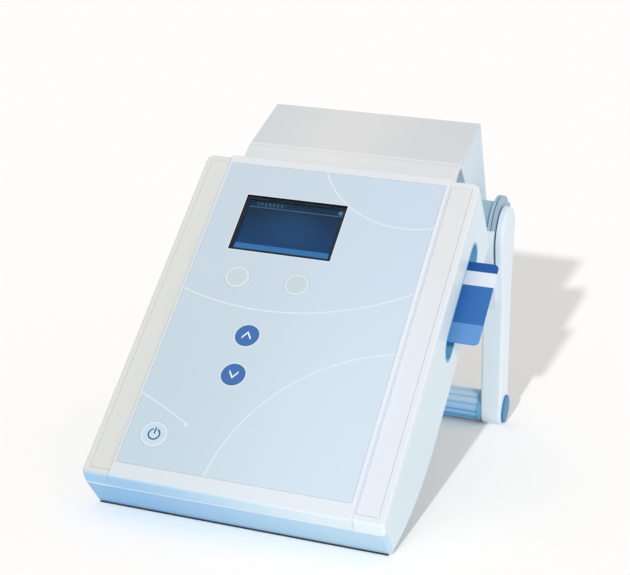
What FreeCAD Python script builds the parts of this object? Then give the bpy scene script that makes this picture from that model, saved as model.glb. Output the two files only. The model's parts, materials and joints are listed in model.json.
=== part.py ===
import FreeCAD, Part
import math
import os
import re

import Sketcher

# Bedside monitor with a sloping keypad panel, a rear block, a chip card slot and a folding handle that is
# its stand.
# Lengths are millimetres, angles are degrees.
#
# The fixed pieces are drawn in the panel's own frame: x across, y up the slope of the panel from the front edge
# of the rails, z out of the panel, with z = 0 on the keypad's face. One placement leans that frame back by the
# tilt and stands it on the table. The handle is drawn about its pivot, hanging straight down, and then leaned
# until its foot touches the table. The origin of the whole part is the middle of the front foot's sole.

V = FreeCAD.Vector
doc = FreeCAD.newDocument("BedsideMonitor")
sheet_of = {}

SIZES = [
    ("fit_gap", "0.15", "clearance between pieces that fit into each other"),
    ("key_gap", "0.25", "clearance round a key"),
    ("turn_gap", "0.05", "radial clearance of the pivot pin in its bearing"),
    ("side_gap", "0.5", "clearance between the hub and the turning disc and arms"),
    ("tilt", "43.45", "lean of the panel above the table"),
    ("housing_half", "82.2", "half of the housing's width"),
    ("housing_length", "214.4", "length of the rails up the slope"),
    ("rail_drop", "3.3", "rails below the keypad's face"),
    ("seam_depth", "11.1", "parting line of the front, below the keypad's face"),
    ("seam_reach", "1.7", "parting line ahead of the rails' front edge"),
    ("front_depth", "34", "toe of the housing below the keypad's face"),
    ("toe_reach", "0.7", "toe ahead of the rails' front edge"),
    ("flat_run", "134.4", "flat base, from the belly to the rear"),
    ("base_depth", "60", "flat base below the keypad's face"),
    ("heel_reach", "2.55", "foot of the rear wall behind its top"),
    ("wall", "2.8", "moulded wall of the housing"),
    ("corner_radius", "2.4", "upright corners at the front"),
    ("rear_radius", "4", "upright corners at the rear"),
    ("edge_radius", "1.2", "upper edges of the rails"),
    ("sole_radius", "2", "lower edges of the tray"),
    ("rim_height", "5", "tray rim inside the upper shell"),
    ("rim_wall", "1.6", "thickness of that rim"),
    ("opening_inset", "6", "opening under the plate, inside the plate's side edges"),
    ("opening_front", "12", "front end of that opening"),
    ("opening_rest", "14.4", "rear end of that opening before the rails' rear edge"),
    ("rail_width", "16.2", "rail beside the raised plate"),
    ("plate_overhang", "1.4", "plate ahead of the rails' front edge"),
    ("plate_margin", "0.8", "plate short of the rails' rear edge"),
    ("plate_edge", "0.9", "rounding of the plate's edges"),
    ("lip_thickness", "1.6", "plate's lip that hangs over the front wall"),
    ("foil_inset", "2", "foil inside the plate's side edges"),
    ("foil_front", "7.9", "foil behind the rails' front edge"),
    ("foil_back", "6.5", "foil before the rails' rear edge"),
    ("foil_thickness", "0.35", "foil's thickness"),
    ("foil_radius", "1.5", "foil's corners"),
    ("strip_inset", "0.5", "inlaid strip beside the plate"),
    ("strip_width", "12.1", "inlaid strip across"),
    ("strip_margin", "4", "inlaid strip short of the rail's ends"),
    ("strip_seat", "0.8", "depth of the strip's bed"),
    ("strip_thickness", "1", "thickness of the strip"),
    ("display_side", "46.5", "display's centre from the foil's left edge"),
    ("display_drop", "40.7", "display's centre before the foil's rear edge"),
    ("display_width", "60", "display window across"),
    ("display_height", "38.4", "display window up the slope"),
    ("window_thickness", "1.2", "window pane"),
    ("window_ledge", "2", "ledge that the pane rests on"),
    ("gasket_thickness", "1", "foam frame between plate and display"),
    ("module_width", "72", "display module across"),
    ("module_height", "50", "display module up the slope"),
    ("module_thickness", "6", "display module"),
    ("arrow_side", "1.1", "arrow keys left of the display's centre"),
    ("arrow_up_y", "93.7", "upper arrow key"),
    ("arrow_down_y", "68.9", "lower arrow key"),
    ("arrow_radius", "6.6", "radius of the arrow keys"),
    ("soft_left", "18.5", "left display key left of the display's centre"),
    ("soft_right", "16.3", "right display key right of the display's centre"),
    ("soft_drop", "37.3", "display keys before the display's centre"),
    ("soft_radius", "7", "radius of the display keys"),
    ("power_side", "14.8", "power key from the foil's left edge"),
    ("power_y", "26.8", "power key up the slope"),
    ("power_radius", "7.4", "radius of the power key"),
    ("key_proud", "0.25", "key's face above the foil"),
    ("key_flange", "0.9", "key's flange beyond its rim, under the plate"),
    ("flange_thickness", "0.8", "key's flange"),
    ("key_stem", "2.2", "radius of the key's stem"),
    ("key_travel", "0.5", "how far a key goes down"),
    ("dome_height", "1", "dome switch"),
    ("dome_radius", "3", "dome switch"),
    ("board_thickness", "1.6", "circuit boards"),
    ("keypad_top", "7", "keypad board's face below the keypad's face"),
    ("keypad_inset", "10", "keypad board inside the plate's side edges"),
    ("keypad_front", "14", "keypad board's front end"),
    ("keypad_rest", "9.6", "keypad board behind the display keys"),
    ("stud_radius", "2.6", "plate's studs for the keypad board"),
    ("stud_inset", "4", "studs inside the keypad board's side edges"),
    ("stud_front_y", "46", "front pair of studs"),
    ("stud_rest", "4.5", "rear pair of studs before the board's rear end"),
    ("card_width", "53.98", "chip card, short side"),
    ("card_length", "85.6", "chip card, long side"),
    ("card_thickness", "0.76", "chip card"),
    ("card_radius", "3.18", "chip card's corners"),
    ("card_reach", "15.4", "chip card out of the housing's side"),
    ("card_rest", "60.3", "chip card's centre before the rails' rear edge"),
    ("card_depth", "32", "chip card below the keypad's face"),
    ("card_gap", "0.35", "clearance above, below and beside the card"),
    ("slot_length", "77", "card slot's recess along the side"),
    ("slot_width", "19.6", "card slot's recess across"),
    ("slot_recess", "5.6", "depth of that recess"),
    ("bezel_wall", "1.5", "wall of the slot's insert"),
    ("bezel_flange", "2.5", "insert's flange beyond the opening"),
    ("reader_width", "63", "card reader up the slope"),
    ("reader_height", "8.4", "card reader's thickness"),
    ("reader_inner", "9", "card reader's closed end from the middle"),
    ("spacer_radius", "3", "spacers under the card reader"),
    ("spacer_inset", "2.6", "spacer's centre beyond the card"),
    ("board_inset", "21.2", "main board inside the housing's sides"),
    ("speaker_run", "11", "loudspeaker behind the belly's end"),
    ("board_rest", "8.4", "main board before the rails' rear edge"),
    ("board_stand", "6", "main board above the tray's floor"),
    ("shield_height", "6", "screening can on the main board"),
    ("post_inset", "11.2", "screw posts inside the housing's sides"),
    ("post_run", "17", "front pair of screw posts behind the belly's end"),
    ("post_rest", "11.4", "rear pair of screw posts before the rails' rear edge"),
    ("post_radius", "4.5", "screw posts"),
    ("boss_height", "7", "tray's bosses under the posts"),
    ("screw_radius", "1.5", "housing screws' thread"),
    ("screw_head_radius", "3", "housing screws' head"),
    ("screw_head_height", "2.2", "housing screws' head"),
    ("screw_sink", "3", "head's seat above the flat base"),
    ("screw_length", "14", "housing screws under the head"),
    ("speaker_radius", "14", "loudspeaker"),
    ("speaker_height", "6", "loudspeaker"),
    ("speaker_gap", "1", "loudspeaker before the main board"),
    ("lip_depth", "12.5", "rear block's lip below the keypad's face"),
    ("bend_reach", "16.2", "where the lip bends, behind the rails' rear edge"),
    ("crest_reach", "49", "rear end of the sloping cover behind that bend"),
    ("crest_depth", "29.8", "rear end below the keypad's face"),
    ("hood_thickness", "2.8", "rear block's cover"),
    ("hood_edge", "0.9", "rounding of the cover's edges"),
    ("lip_gap", "0.4", "cover's lip short of the housing"),
    ("block_inset", "17.55", "rear block inside the housing's sides"),
    ("block_depth", "127", "rear block's floor below the keypad's face"),
    ("block_back_inset", "7.4", "foot of the back wall before the cover's end"),
    ("back_bend_inset", "9.2", "bend of the back wall before the cover's end"),
    ("back_bend_depth", "88", "bend below the keypad's face"),
    ("block_wall", "2.6", "rear block's wall"),
    ("block_radius", "3", "rear block's outer edges"),
    ("channel_reach", "4", "far side of the channel behind the lip's bend"),
    ("channel_slant", "3", "channel's far side from its top to its floor"),
    ("channel_depth", "36", "channel's floor below the keypad's face"),
    ("shelf_gap", "5.4", "shelf over the battery below the pivot pins' heads"),
    ("shelf_thickness", "2", "shelf over the battery"),
    ("battery_half", "36", "half of the battery's width"),
    ("battery_reach", "8.6", "battery behind the rails' rear edge"),
    ("battery_length", "42", "battery up the slope"),
    ("door_side", "4", "battery door beyond the battery, across"),
    ("door_margin", "3", "battery door beyond the battery"),
    ("door_step", "1.2", "rebate that the battery door lies in"),
    ("power_half", "33", "half of the power module's width"),
    ("power_height", "20", "power module's height"),
    ("power_length", "22", "power module up the slope"),
    ("socket_x", "30", "sockets beside the middle"),
    ("socket_drop", "21", "sockets down the back wall from its top"),
    ("socket_bore", "6", "patient cable socket's bore"),
    ("socket_length", "11", "depth of that bore"),
    ("charge_bore", "3.5", "charging socket's bore"),
    ("charge_length", "9", "depth of that bore"),
    ("socket_wall", "2", "wall of a socket"),
    ("socket_flange", "2.2", "socket's flange beyond its wall"),
    ("flange_height", "1.5", "socket's flange on the back wall"),
    ("pivot_reach", "23.2", "handle's pivot behind the rails' rear edge"),
    ("pivot_depth", "80.6", "handle's pivot below the keypad's face"),
    ("hub_radius", "23", "hub's flange and the handle's disc"),
    ("hub_step", "19", "radius of the hub's drum"),
    ("neck_width", "13.35", "hub's drum"),
    ("hub_width", "1.7", "hub's flange"),
    ("disc_width", "1.4", "disc that turns with the handle"),
    ("boss_radius", "12", "disc's boss against the arm"),
    ("boss_width", "0.8", "disc's boss against the arm"),
    ("washer_seat", "0.6", "depth of the friction washer's seat in the disc"),
    ("pin_radius", "4", "pivot pin"),
    ("pin_head_radius", "7", "pivot pin's head"),
    ("pin_head_height", "2.5", "pivot pin's head"),
    ("pin_grip", "3", "pivot pin inside the arm"),
    ("washer_radius", "11", "friction washer"),
    ("cheek_width", "4.6", "arm beside the hub"),
    ("arm_width", "13", "arm across"),
    ("cheek_radius", "17", "arm's rounded upper end"),
    ("cup_wall", "1.6", "arm's cup round the disc"),
    ("cup_rise", "11", "cup's ends above the pivot"),
    ("arm_waist", "10.9", "half depth of the arm below the hub"),
    ("waist_drop", "47", "waist below the pivot"),
    ("lean", "15.57613", "handle's lean at rest"),
    ("end_radius", "10.6", "arm's lower end"),
    ("arm_edge", "2", "rounding of the arm's edges"),
    ("grip_radius", "10", "fluted grip"),
    ("flute_count", "12", "flutes round the grip"),
    ("flute_radius", "2.2", "flute"),
    ("flute_depth", "0.6", "flute"),
    ("collar_radius", "10.4", "collars at the grip's ends"),
    ("collar_width", "3", "collars at the grip's ends"),
    ("tube_radius", "6", "steel tube in the grip"),
    ("tube_wall", "1.5", "wall of that tube"),
    ("tube_seat", "7", "tube's end inside the arm"),
    ("cap_radius", "9.1", "end caps on the arms"),
    ("cap_height", "1.6", "end caps on the arms"),
    ("cap_plug", "4.2", "radius of the cap's plug"),
    ("cap_plug_length", "3", "length of the cap's plug"),
    ("foot_side", "20.2", "front foot inside the housing's sides"),
    ("foot_inset", "3.2", "front foot behind the toe, along the table"),
    ("foot_length", "9", "front foot along the table"),
    ("foot_stand", "0.6", "toe above the front foot's sole"),
]

LAYOUT = [
    ("knee_run", "housing_length - flat_run", "where the curved belly meets the flat base"),
    ("plate_half", "housing_half - rail_width", "half of the raised plate's width"),
    ("opening_half", "plate_half - opening_inset", "half of the opening under the plate"),
    ("opening_back", "housing_length - opening_rest", "rear end of that opening"),
    ("foil_half", "plate_half - foil_inset", "half of the foil's width"),
    ("foil_length", "housing_length - foil_front - foil_back", "foil up the slope"),
    ("display_x", "display_side - foil_half", "display's centre across"),
    ("arrow_x", "display_x - arrow_side", "arrow keys across"),
    ("soft_left_x", "display_x - soft_left", "left display key across"),
    ("soft_right_x", "display_x + soft_right", "right display key across"),
    ("power_x", "power_side - foil_half", "power key across"),
    ("display_y", "foil_front + foil_length - display_drop", "display's centre up the slope"),
    ("soft_y", "display_y - soft_drop", "display keys up the slope"),
    ("keypad_half", "plate_half - keypad_inset", "half of the keypad board's width"),
    ("keypad_back", "soft_y + keypad_rest", "keypad board's rear end"),
    ("stud_back_y", "keypad_back - stud_rest", "rear pair of studs"),
    ("card_y", "housing_length - card_rest", "chip card's centre up the slope"),
    ("speaker_y", "knee_run + speaker_run", "loudspeaker's place up the slope"),
    ("board_half", "housing_half - board_inset", "half of the main board's width"),
    ("board_front", "speaker_y + speaker_radius + speaker_gap", "main board's front end"),
    ("board_back", "housing_length - board_rest", "main board's rear end"),
    ("post_x", "housing_half - post_inset", "screw posts across"),
    ("post_front_y", "knee_run + post_run", "front pair of screw posts"),
    ("post_back_y", "housing_length - post_rest", "rear pair of screw posts"),
    ("foot_half", "housing_half - foot_side", "half of the front foot's length across"),
    ("bend_run", "housing_length + bend_reach", "where the lip bends into the rear slope"),
    ("crest_run", "bend_run + crest_reach", "rear end of the sloping cover"),
    ("block_half", "housing_half - block_inset", "half of the rear block's width"),
    ("block_back_run", "crest_run - block_back_inset", "foot of the rear block's back wall"),
    ("back_bend_run", "crest_run - back_bend_inset", "bend of the back wall"),
    ("channel_top_run", "bend_run + channel_reach", "far side of the channel, at its top"),
    ("channel_foot_run", "channel_top_run + channel_slant", "far side of the channel, at its floor"),
    ("shelf_depth", "pivot_depth + pin_head_radius + shelf_gap", "shelf over the battery"),
    ("battery_front", "housing_length + battery_reach", "battery's front side"),
    ("battery_back", "battery_front + battery_length", "battery's rear side"),
    ("door_half", "battery_half + door_side", "half of the battery door's width"),
    ("pivot_run", "housing_length + pivot_reach", "handle's pivot up the slope"),
    ("heel_slope", "heel_reach / (base_depth - rail_drop)", "lean of the rear wall"),
    ("rear_inner_top", "housing_length + heel_slope * wall - wall", "rear wall's inner face under the rails"),
    ("rear_inner_low", "rear_inner_top + heel_slope * (base_depth - rail_drop)", "that face under the base"),
    ("belly_rise", "base_depth - front_depth", "toe above the flat base"),
    ("belly_radius", "((knee_run + toe_reach)^2 + belly_rise^2) / (2 * belly_rise)", "radius of the belly"),
    ("belly_inner", "belly_radius - wall", "radius of the tray's inner face"),
    ("belly_z", "belly_radius - base_depth", "belly's centre above the keypad's face"),
    ("toe_inner_y", "wall - toe_reach", "front wall's inner face at the toe"),
    ("toe_inner_z", "belly_z - sqrt(belly_inner^2 - (knee_run - toe_inner_y)^2)", "belly's inner face there"),
    ("floor_z", "wall - base_depth", "tray's floor"),
    ("heel_split", "housing_length + heel_slope * (base_depth - wall - rail_drop)", "rear wall at the tray"),
    ("lip_back", "lip_thickness - seam_reach", "back of the plate's lip"),
    ("plate_back", "housing_length - plate_margin", "plate's rear edge"),
    ("toe_row_y", "front_depth * sin(tilt) - toe_reach * cos(tilt)", "toe before the shift"),
    ("frame_z", "toe_reach * sin(tilt) + (front_depth + foot_stand) * cos(tilt)", "panel's origin up"),
    ("pivot_row_z", "pivot_run * sin(tilt) - pivot_depth * cos(tilt) + frame_z", "pivot above the table"),
    ("arm_length", "(pivot_row_z - end_radius) / cos(lean)", "pivot to the grip's axis, so that it stands"),
    ("slot_half", "(slot_length - slot_width) / 2", "slot's centre to the centre of its end"),
    ("bezel_back", "housing_half - slot_recess - bezel_wall", "insert's inner end"),
    ("reader_outer", "bezel_back - fit_gap", "card reader's open end"),
    ("card_outer", "housing_half + card_reach", "card's free edge"),
    ("card_inner", "card_outer - card_length", "card's edge in the reader"),
    ("board_z", "floor_z + board_stand", "main board's underside"),
    ("hood_slope", "atan((crest_depth - lip_depth) / (crest_run - bend_run))", "rear slope against the panel"),
    ("hood_fall", "tan(hood_slope)", "rear slope's fall"),
    ("hood_under", "-lip_depth - hood_thickness / cos(hood_slope)", "slope's underside, carried to the bend"),
    ("back_lean", "(crest_run - back_bend_run) / (back_bend_depth - crest_depth)", "lean of the back wall"),
    ("back_angle", "atan(back_lean)", "lean of the back wall"),
    ("back_top_z", "(hood_under - (crest_run - bend_run + crest_depth * back_lean) * hood_fall) "
     "/ (1 + back_lean * hood_fall)", "back wall's top"),
    ("back_top_y", "crest_run + (back_top_z + crest_depth) * back_lean", "back wall's top"),
    ("front_top_z", "hood_under - (channel_top_run - bend_run) * hood_fall", "channel wall's top"),
    ("lip_front", "housing_length + heel_slope * (lip_depth - rail_drop) + lip_gap", "lip's front edge"),
    ("lip_under", "-lip_depth - hood_thickness", "lip's underside"),
    ("under_bend", "bend_run - (1 / cos(hood_slope) - 1) * hood_thickness / hood_fall", "bend of the underside"),
    ("neck_top_y", "housing_length + heel_slope * (channel_depth - rail_drop)", "rear wall at the channel's floor"),
    ("neck_foot_y", "housing_length + heel_reach", "rear wall at the flat base"),
    ("socket_back_y", "back_top_y - socket_drop * sin(back_angle)", "sockets on the back wall"),
    ("socket_back_z", "back_top_z - socket_drop * cos(back_angle)", "sockets on the back wall"),
    ("hub_face", "block_half + neck_width + hub_width", "hub's outer face"),
    ("disc_inner", "hub_face + side_gap", "disc's inner face"),
    ("cheek_inner", "disc_inner + disc_width + boss_width", "inner side of the arm beside the hub"),
    ("arm_outer", "cheek_inner + cheek_width", "outer side of the arms"),
    ("arm_inner", "arm_outer - arm_width", "inner side of the arms"),
    ("waist_angle", "atan2(waist_drop; arm_waist)", "waist seen from the pivot"),
    ("waist_reach", "sqrt(waist_drop^2 + arm_waist^2)", "waist from the pivot"),
    ("touch_angle", "waist_angle - acos(cheek_radius / waist_reach)", "where the arm's side leaves the cheek"),
    ("touch_y", "cheek_radius * cos(touch_angle)", "that place beside the pivot"),
    ("touch_z", "-cheek_radius * sin(touch_angle)", "that place below the pivot"),
    ("cup_radius", "hub_radius + fit_gap + cup_wall", "arm's cup round the disc"),
    ("cup_half", "sqrt(cup_radius^2 - cup_rise^2)", "cup's ends beside the pivot"),
    ("cup_angle", "waist_angle - acos(cup_radius / waist_reach)", "where the shank leaves the cup"),
    ("cup_y", "cup_radius * cos(cup_angle)", "that place beside the pivot"),
    ("cup_z", "-cup_radius * sin(cup_angle)", "that place below the pivot"),
    ("shin", "arm_length - waist_drop", "waist to the grip's axis"),
    ("shin_reach", "sqrt(shin^2 + arm_waist^2)", "waist from the grip's axis"),
    ("shin_angle", "atan2(shin; arm_waist) - acos(end_radius / shin_reach)", "where the side meets the lower end"),
    ("end_y", "end_radius * cos(shin_angle)", "that place beside the grip's axis"),
    ("end_z", "end_radius * sin(shin_angle) - arm_length", "that place below the pivot"),
    ("grip_half", "arm_inner - collar_width", "half of the fluted grip"),
    ("frame_y", "-toe_row_y - foot_inset - foot_length / 2", "panel's origin along the table"),
    ("belly_row_y", "knee_run * cos(tilt) - belly_z * sin(tilt) + frame_y", "belly's centre along the table"),
    ("belly_row_z", "knee_run * sin(tilt) + belly_z * cos(tilt) + frame_z", "belly's centre up"),
    ("foot_front_z", "belly_row_z - sqrt(belly_radius^2 - (belly_row_y + foot_length / 2)^2)", "foot's front"),
    ("foot_back_z", "belly_row_z - sqrt(belly_radius^2 - (belly_row_y - foot_length / 2)^2)", "foot's rear"),
    ("socket_row_y", "socket_back_y * cos(tilt) - socket_back_z * sin(tilt) + frame_y", "sockets"),
    ("socket_row_z", "socket_back_y * sin(tilt) + socket_back_z * cos(tilt) + frame_z", "sockets"),
    ("socket_turn", "tilt * 1deg - back_angle - 90deg", "sockets square to the back wall"),
    ("rim_foot_y", "toe_inner_y + rim_wall", "rim's inner face at the toe"),
    ("rim_foot_z", "belly_z - sqrt(belly_inner^2 - (knee_run - rim_foot_y)^2)", "tray's inner face there"),
    ("pivot_row_y", "pivot_run * cos(tilt) + pivot_depth * sin(tilt) + frame_y", "pivot along the table"),
]


def spell(text, home=None):
    """An expression with each size's name led by its sheet's name."""

    def swap(found):
        word = found.group(0)
        if word not in sheet_of or sheet_of[word] == home:
            return word
        return f"{sheet_of[word]}.{word}"

    return re.sub(r"[A-Za-z_][A-Za-z_0-9]*", swap, text)


def fill(label, rows, lead):
    """A sheet with one named value in each row."""
    sheet = doc.addObject("Spreadsheet::Sheet", label)
    for number, (alias, content, meaning) in enumerate(rows, 1):
        sheet.set(f"A{number}", meaning)
        sheet.set(f"B{number}", lead + spell(content, label))
        sheet.setAlias(f"B{number}", alias)
        sheet_of[alias] = label
    doc.recompute()
    return sheet


sizes = fill("Sizes", SIZES, "")
layout = fill("Layout", LAYOUT, "=")
sheets = {"Sizes": sizes, "Layout": layout}


def num(alias):
    """The value of one named size."""
    found = getattr(sheets[sheet_of[alias]], alias)
    return found.Value if hasattr(found, "Value") else float(found)


reading = doc.addObject("Spreadsheet::Sheet", "Reading")


def value(text):
    """The number that an expression stands for, read through a spare sheet."""
    reading.set("A1", "=" + spell(text))
    reading.recompute()
    found = reading.get("A1")
    return found.Value if hasattr(found, "Value") else float(found)


def bind(made, **terms):
    """Ties properties of an object to expressions."""
    for name, text in terms.items():
        made.setExpression(name.replace("__", "."), spell(text))


def new_body(name):
    made = doc.addObject("PartDesign::Body", name)
    made.Label = name
    return made


def draw(owner, role, name, offset="0"):
    """A sketch on one of the body's own origin planes, moved along the plane's normal."""
    plane = next(item for item in owner.Origin.OriginFeatures if item.Role == role)
    drawn = owner.newObject("Sketcher::SketchObject", name)
    drawn.AttachmentSupport = [(plane, "")]
    drawn.MapMode = "FlatFace"
    bind(drawn, AttachmentOffset__Base__z=offset)
    return drawn


def pin(drawn, shape, point, x, y):
    """Ties a point of the sketch to its x and y, leaving out one that is None."""
    for kind, text in (("DistanceX", x), ("DistanceY", y)):
        if text is not None:
            number = drawn.addConstraint(Sketcher.Constraint(kind, -1, 1, shape, point, value(text)))
            drawn.setExpression(f"Constraints[{number}]", spell(text))


def outline(drawn, corners):
    """A closed outline. A corner is (x, y), or (x, y, centre x, centre y, turn) where an arc leaves it.

    An arc is tied at its centre and its start, so its end is tied in one direction only.
    """
    count = len(corners)
    first = drawn.GeometryCount
    spots = [V(value(corner[0]), value(corner[1]), 0) for corner in corners]
    leads = []
    for i, corner in enumerate(corners):
        here = spots[i]
        there = spots[(i + 1) % count]
        if len(corner) == 2:
            leads.append((1, 2))
            drawn.addGeometry(Part.LineSegment(here, there), False)
            continue
        leads.append((1, 2) if corner[4] == "left" else (2, 1))
        centre = V(value(corner[2]), value(corner[3]), 0)
        ends = [math.atan2(spot.y - centre.y, spot.x - centre.x) for spot in (here, there)]
        begin, end = ends if corner[4] == "left" else ends[::-1]
        circle = Part.Circle(centre, V(0, 0, 1), here.distanceToPoint(centre))
        drawn.addGeometry(Part.ArcOfCircle(circle, begin, end if end > begin else end + math.tau), False)
    for i in range(count):
        follow = (i + 1) % count
        drawn.addConstraint(
            Sketcher.Constraint("Coincident", first + i, leads[i][1], first + follow, leads[follow][0])
        )
    for i, corner in enumerate(corners):
        x, y = corner[0], corner[1]
        before = corners[i - 1]
        if len(before) > 2:
            lever = spots[i] - V(value(before[2]), value(before[3]), 0)
            x, y = (x, None) if abs(lever.y) > abs(lever.x) else (None, y)
        pin(drawn, first + i, leads[i][0], x, y)
        if len(corner) > 2:
            pin(drawn, first + i, 3, corner[2], corner[3])


def rectangle(drawn, left, low, right, high):
    outline(drawn, [(left, low), (right, low), (right, high), (left, high)])


def ring(drawn, x, y, radius):
    """A circle."""
    circle = Part.Circle(V(value(x), value(y), 0), V(0, 0, 1), value(radius))
    number = drawn.addGeometry(circle, False)
    pin(drawn, number, 3, x, y)
    tied = drawn.addConstraint(Sketcher.Constraint("Radius", number, value(radius)))
    drawn.setExpression(f"Constraints[{tied}]", spell(radius))


def stadium(drawn, middle, level, half, radius):
    """A slot with round ends, along the sketch's x."""
    outline(drawn, [
        (f"{middle} + {half}", f"{level} - {radius}", f"{middle} + {half}", level, "left"),
        (f"{middle} + {half}", f"{level} + {radius}"),
        (f"{middle} - {half}", f"{level} + {radius}", f"{middle} - {half}", level, "left"),
        (f"{middle} - {half}", f"{level} - {radius}"),
    ])


def grow(owner, kind, drawn, size, both, back):
    """A pad or pocket of a sketch; a pocket has to take something away."""
    before = owner.Shape.Volume if owner.Tip else 0.0
    made = owner.newObject(f"PartDesign::{kind}", f"{drawn.Name}_{kind.lower()}")
    made.Profile = drawn
    made.SideType = "Symmetric" if both else "One side"
    made.Reversed = back
    bind(made, Length=size)
    doc.recompute()
    change = owner.Shape.Volume - before
    if (change < 0.001) if kind == "Pad" else (change > -0.001):
        raise RuntimeError(f"{made.Name} changes nothing")
    return made


def pad(owner, drawn, size, both=False, back=False):
    return grow(owner, "Pad", drawn, size, both, back)


def pocket(owner, drawn, size, both=False, back=False):
    return grow(owner, "Pocket", drawn, size, both, back)


def dress(owner, kind, size, wanted, name):
    """A fillet or chamfer on the edges that the test picks."""
    base = owner.Tip
    picked = [f"Edge{n}" for n, edge in enumerate(base.Shape.Edges, 1) if wanted(edge)]
    if not picked:
        raise RuntimeError(f"{name} finds no edge")
    made = owner.newObject(f"PartDesign::{kind}", name)
    made.Base = (base, picked)
    bind(made, **{"Radius" if kind == "Fillet" else "Size": size})
    doc.recompute()
    return made


def turned(owner, drawn, axis_role):
    """A solid of revolution about one of the body's own axes."""
    axis = next(item for item in owner.Origin.OriginFeatures if item.Role == axis_role)
    made = owner.newObject("PartDesign::Revolution", f"{drawn.Name}_turned")
    made.Profile = drawn
    made.ReferenceAxis = (axis, [""])
    made.Angle = 360
    doc.recompute()
    return made


def near(one, other):
    return abs(one - other) < 1e-3


def points(edge):
    """The ends and the middle of an edge."""
    middle = edge.valueAt((edge.FirstParameter + edge.LastParameter) / 2)
    return [vertex.Point for vertex in edge.Vertexes] + [middle]


def at(edge, **where):
    """Whether all of an edge lies at the given x, y or z; across means on either side."""
    spots = points(edge)
    for axis, value in where.items():
        for spot in spots:
            found = abs(spot.x) if axis == "across" else getattr(spot, axis)
            if not near(found, value):
                return False
    return True


def along_x(edge):
    spots = points(edge)
    first, last = spots[0], spots[-1]
    return near(first.y, last.y) and near(first.z, last.z) and not near(first.x, last.x)


def place(made, turn, y, z, x="0"):
    """Leans a piece about x and sets it down in the part's frame."""
    made.Placement = FreeCAD.Placement(V(0, 0, 0), FreeCAD.Rotation(V(1, 0, 0), 30))
    bind(made, Placement__Rotation__Angle=turn)
    bind(made, Placement__Base__x=x, Placement__Base__y=y, Placement__Base__z=z)


def on_panel(made):
    place(made, "tilt", "frame_y", "frame_z")


def on_pivot(made):
    place(made, "lean", "pivot_row_y", "pivot_row_z")


pieces = []


def keep(made, seat):
    seat(made)
    pieces.append(made)
    return made


# Housing: the upper shell carries the rails, the sides and the rear wall


def make_top_shell():
    made = new_body("top_shell")
    side = draw(made, "YZ_Plane", "top_shell_side")
    outline(side, [
        ("0", "-rail_drop"),
        ("-seam_reach", "-seam_depth"),
        ("wall - seam_reach", "-seam_depth"),
        ("toe_inner_y", "toe_inner_z", "knee_run", "belly_z", "left"),
        ("knee_run", "floor_z"),
        ("heel_split", "floor_z"),
        ("housing_length", "-rail_drop"),
    ])
    pad(made, side, "2 * housing_half", both=True)
    half = num("housing_half")
    top = -num("rail_drop")
    seam = -num("seam_depth")
    length = num("housing_length")

    def front_corner(edge):
        return at(edge, across=half) and all(seam - 0.01 < p.z and p.y < 0.01 for p in points(edge))

    def rear_corner(edge):
        return at(edge, across=half) and all(p.y > length - 0.01 for p in points(edge))

    dress(made, "Fillet", "corner_radius", front_corner, "top_shell_front_corners")
    dress(made, "Fillet", "rear_radius", rear_corner, "top_shell_rear_corners")
    dress(made, "Fillet", "edge_radius", lambda edge: at(edge, z=top), "top_shell_upper_edges")

    hollow = draw(made, "YZ_Plane", "top_shell_hollow")
    outline(hollow, [
        ("wall", "-rail_drop - wall"),
        ("wall - seam_reach", "-seam_depth"),
        ("wall - seam_reach", "-base_depth - wall"),
        ("rear_inner_low", "-base_depth - wall"),
        ("rear_inner_top", "-rail_drop - wall"),
    ])
    pocket(made, hollow, "2 * (housing_half - wall)", both=True)

    posts = draw(made, "XY_Plane", "top_shell_posts", "-rail_drop - wall / 2")
    for side_sign in ("", "-"):
        for row in ("post_front_y", "post_back_y"):
            ring(posts, f"{side_sign}post_x", row, "post_radius")
    pad(made, posts, "base_depth - wall - boss_height - rail_drop - wall / 2", back=True)
    threads = draw(made, "XY_Plane", "top_shell_threads", "floor_z + boss_height")
    for side_sign in ("", "-"):
        for row in ("post_front_y", "post_back_y"):
            ring(threads, f"{side_sign}post_x", row, "screw_radius")
    pocket(made, threads, "screw_length", back=True)

    opening = draw(made, "XY_Plane", "top_shell_opening", "-rail_drop")
    rectangle(opening, "-opening_half", "opening_front", "opening_half", "opening_back")
    pocket(made, opening, "wall")
    recess = draw(made, "YZ_Plane", "top_shell_lip_recess")
    rectangle(recess, "-2 * seam_reach", "-seam_depth - wall", "lip_back + fit_gap", "wall")
    pocket(made, recess, "2 * (plate_half + fit_gap)", both=True)

    beds = draw(made, "XY_Plane", "top_shell_strip_beds", "-rail_drop")
    inner = "plate_half + strip_inset"
    outer = "plate_half + strip_inset + strip_width"
    rectangle(beds, inner, "strip_margin", outer, "housing_length - strip_margin")
    rectangle(beds, f"-({outer})", "strip_margin", f"-({inner})", "housing_length - strip_margin")
    pocket(made, beds, "strip_seat")

    slot = draw(made, "YZ_Plane", "top_shell_card_opening", "housing_half + 1")
    stadium(slot, "card_y", "-card_depth", "slot_half", "slot_width / 2")
    pocket(made, slot, "wall + 2")

    duct = draw(made, "XZ_Plane", "top_shell_cable_duct", "-(housing_length - 3 * wall)")
    rectangle(duct, "-20", "-base_depth + 3 * wall", "20", "-base_depth + 7 * wall")
    pocket(made, duct, "6 * wall")
    return keep(made, on_panel)


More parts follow.
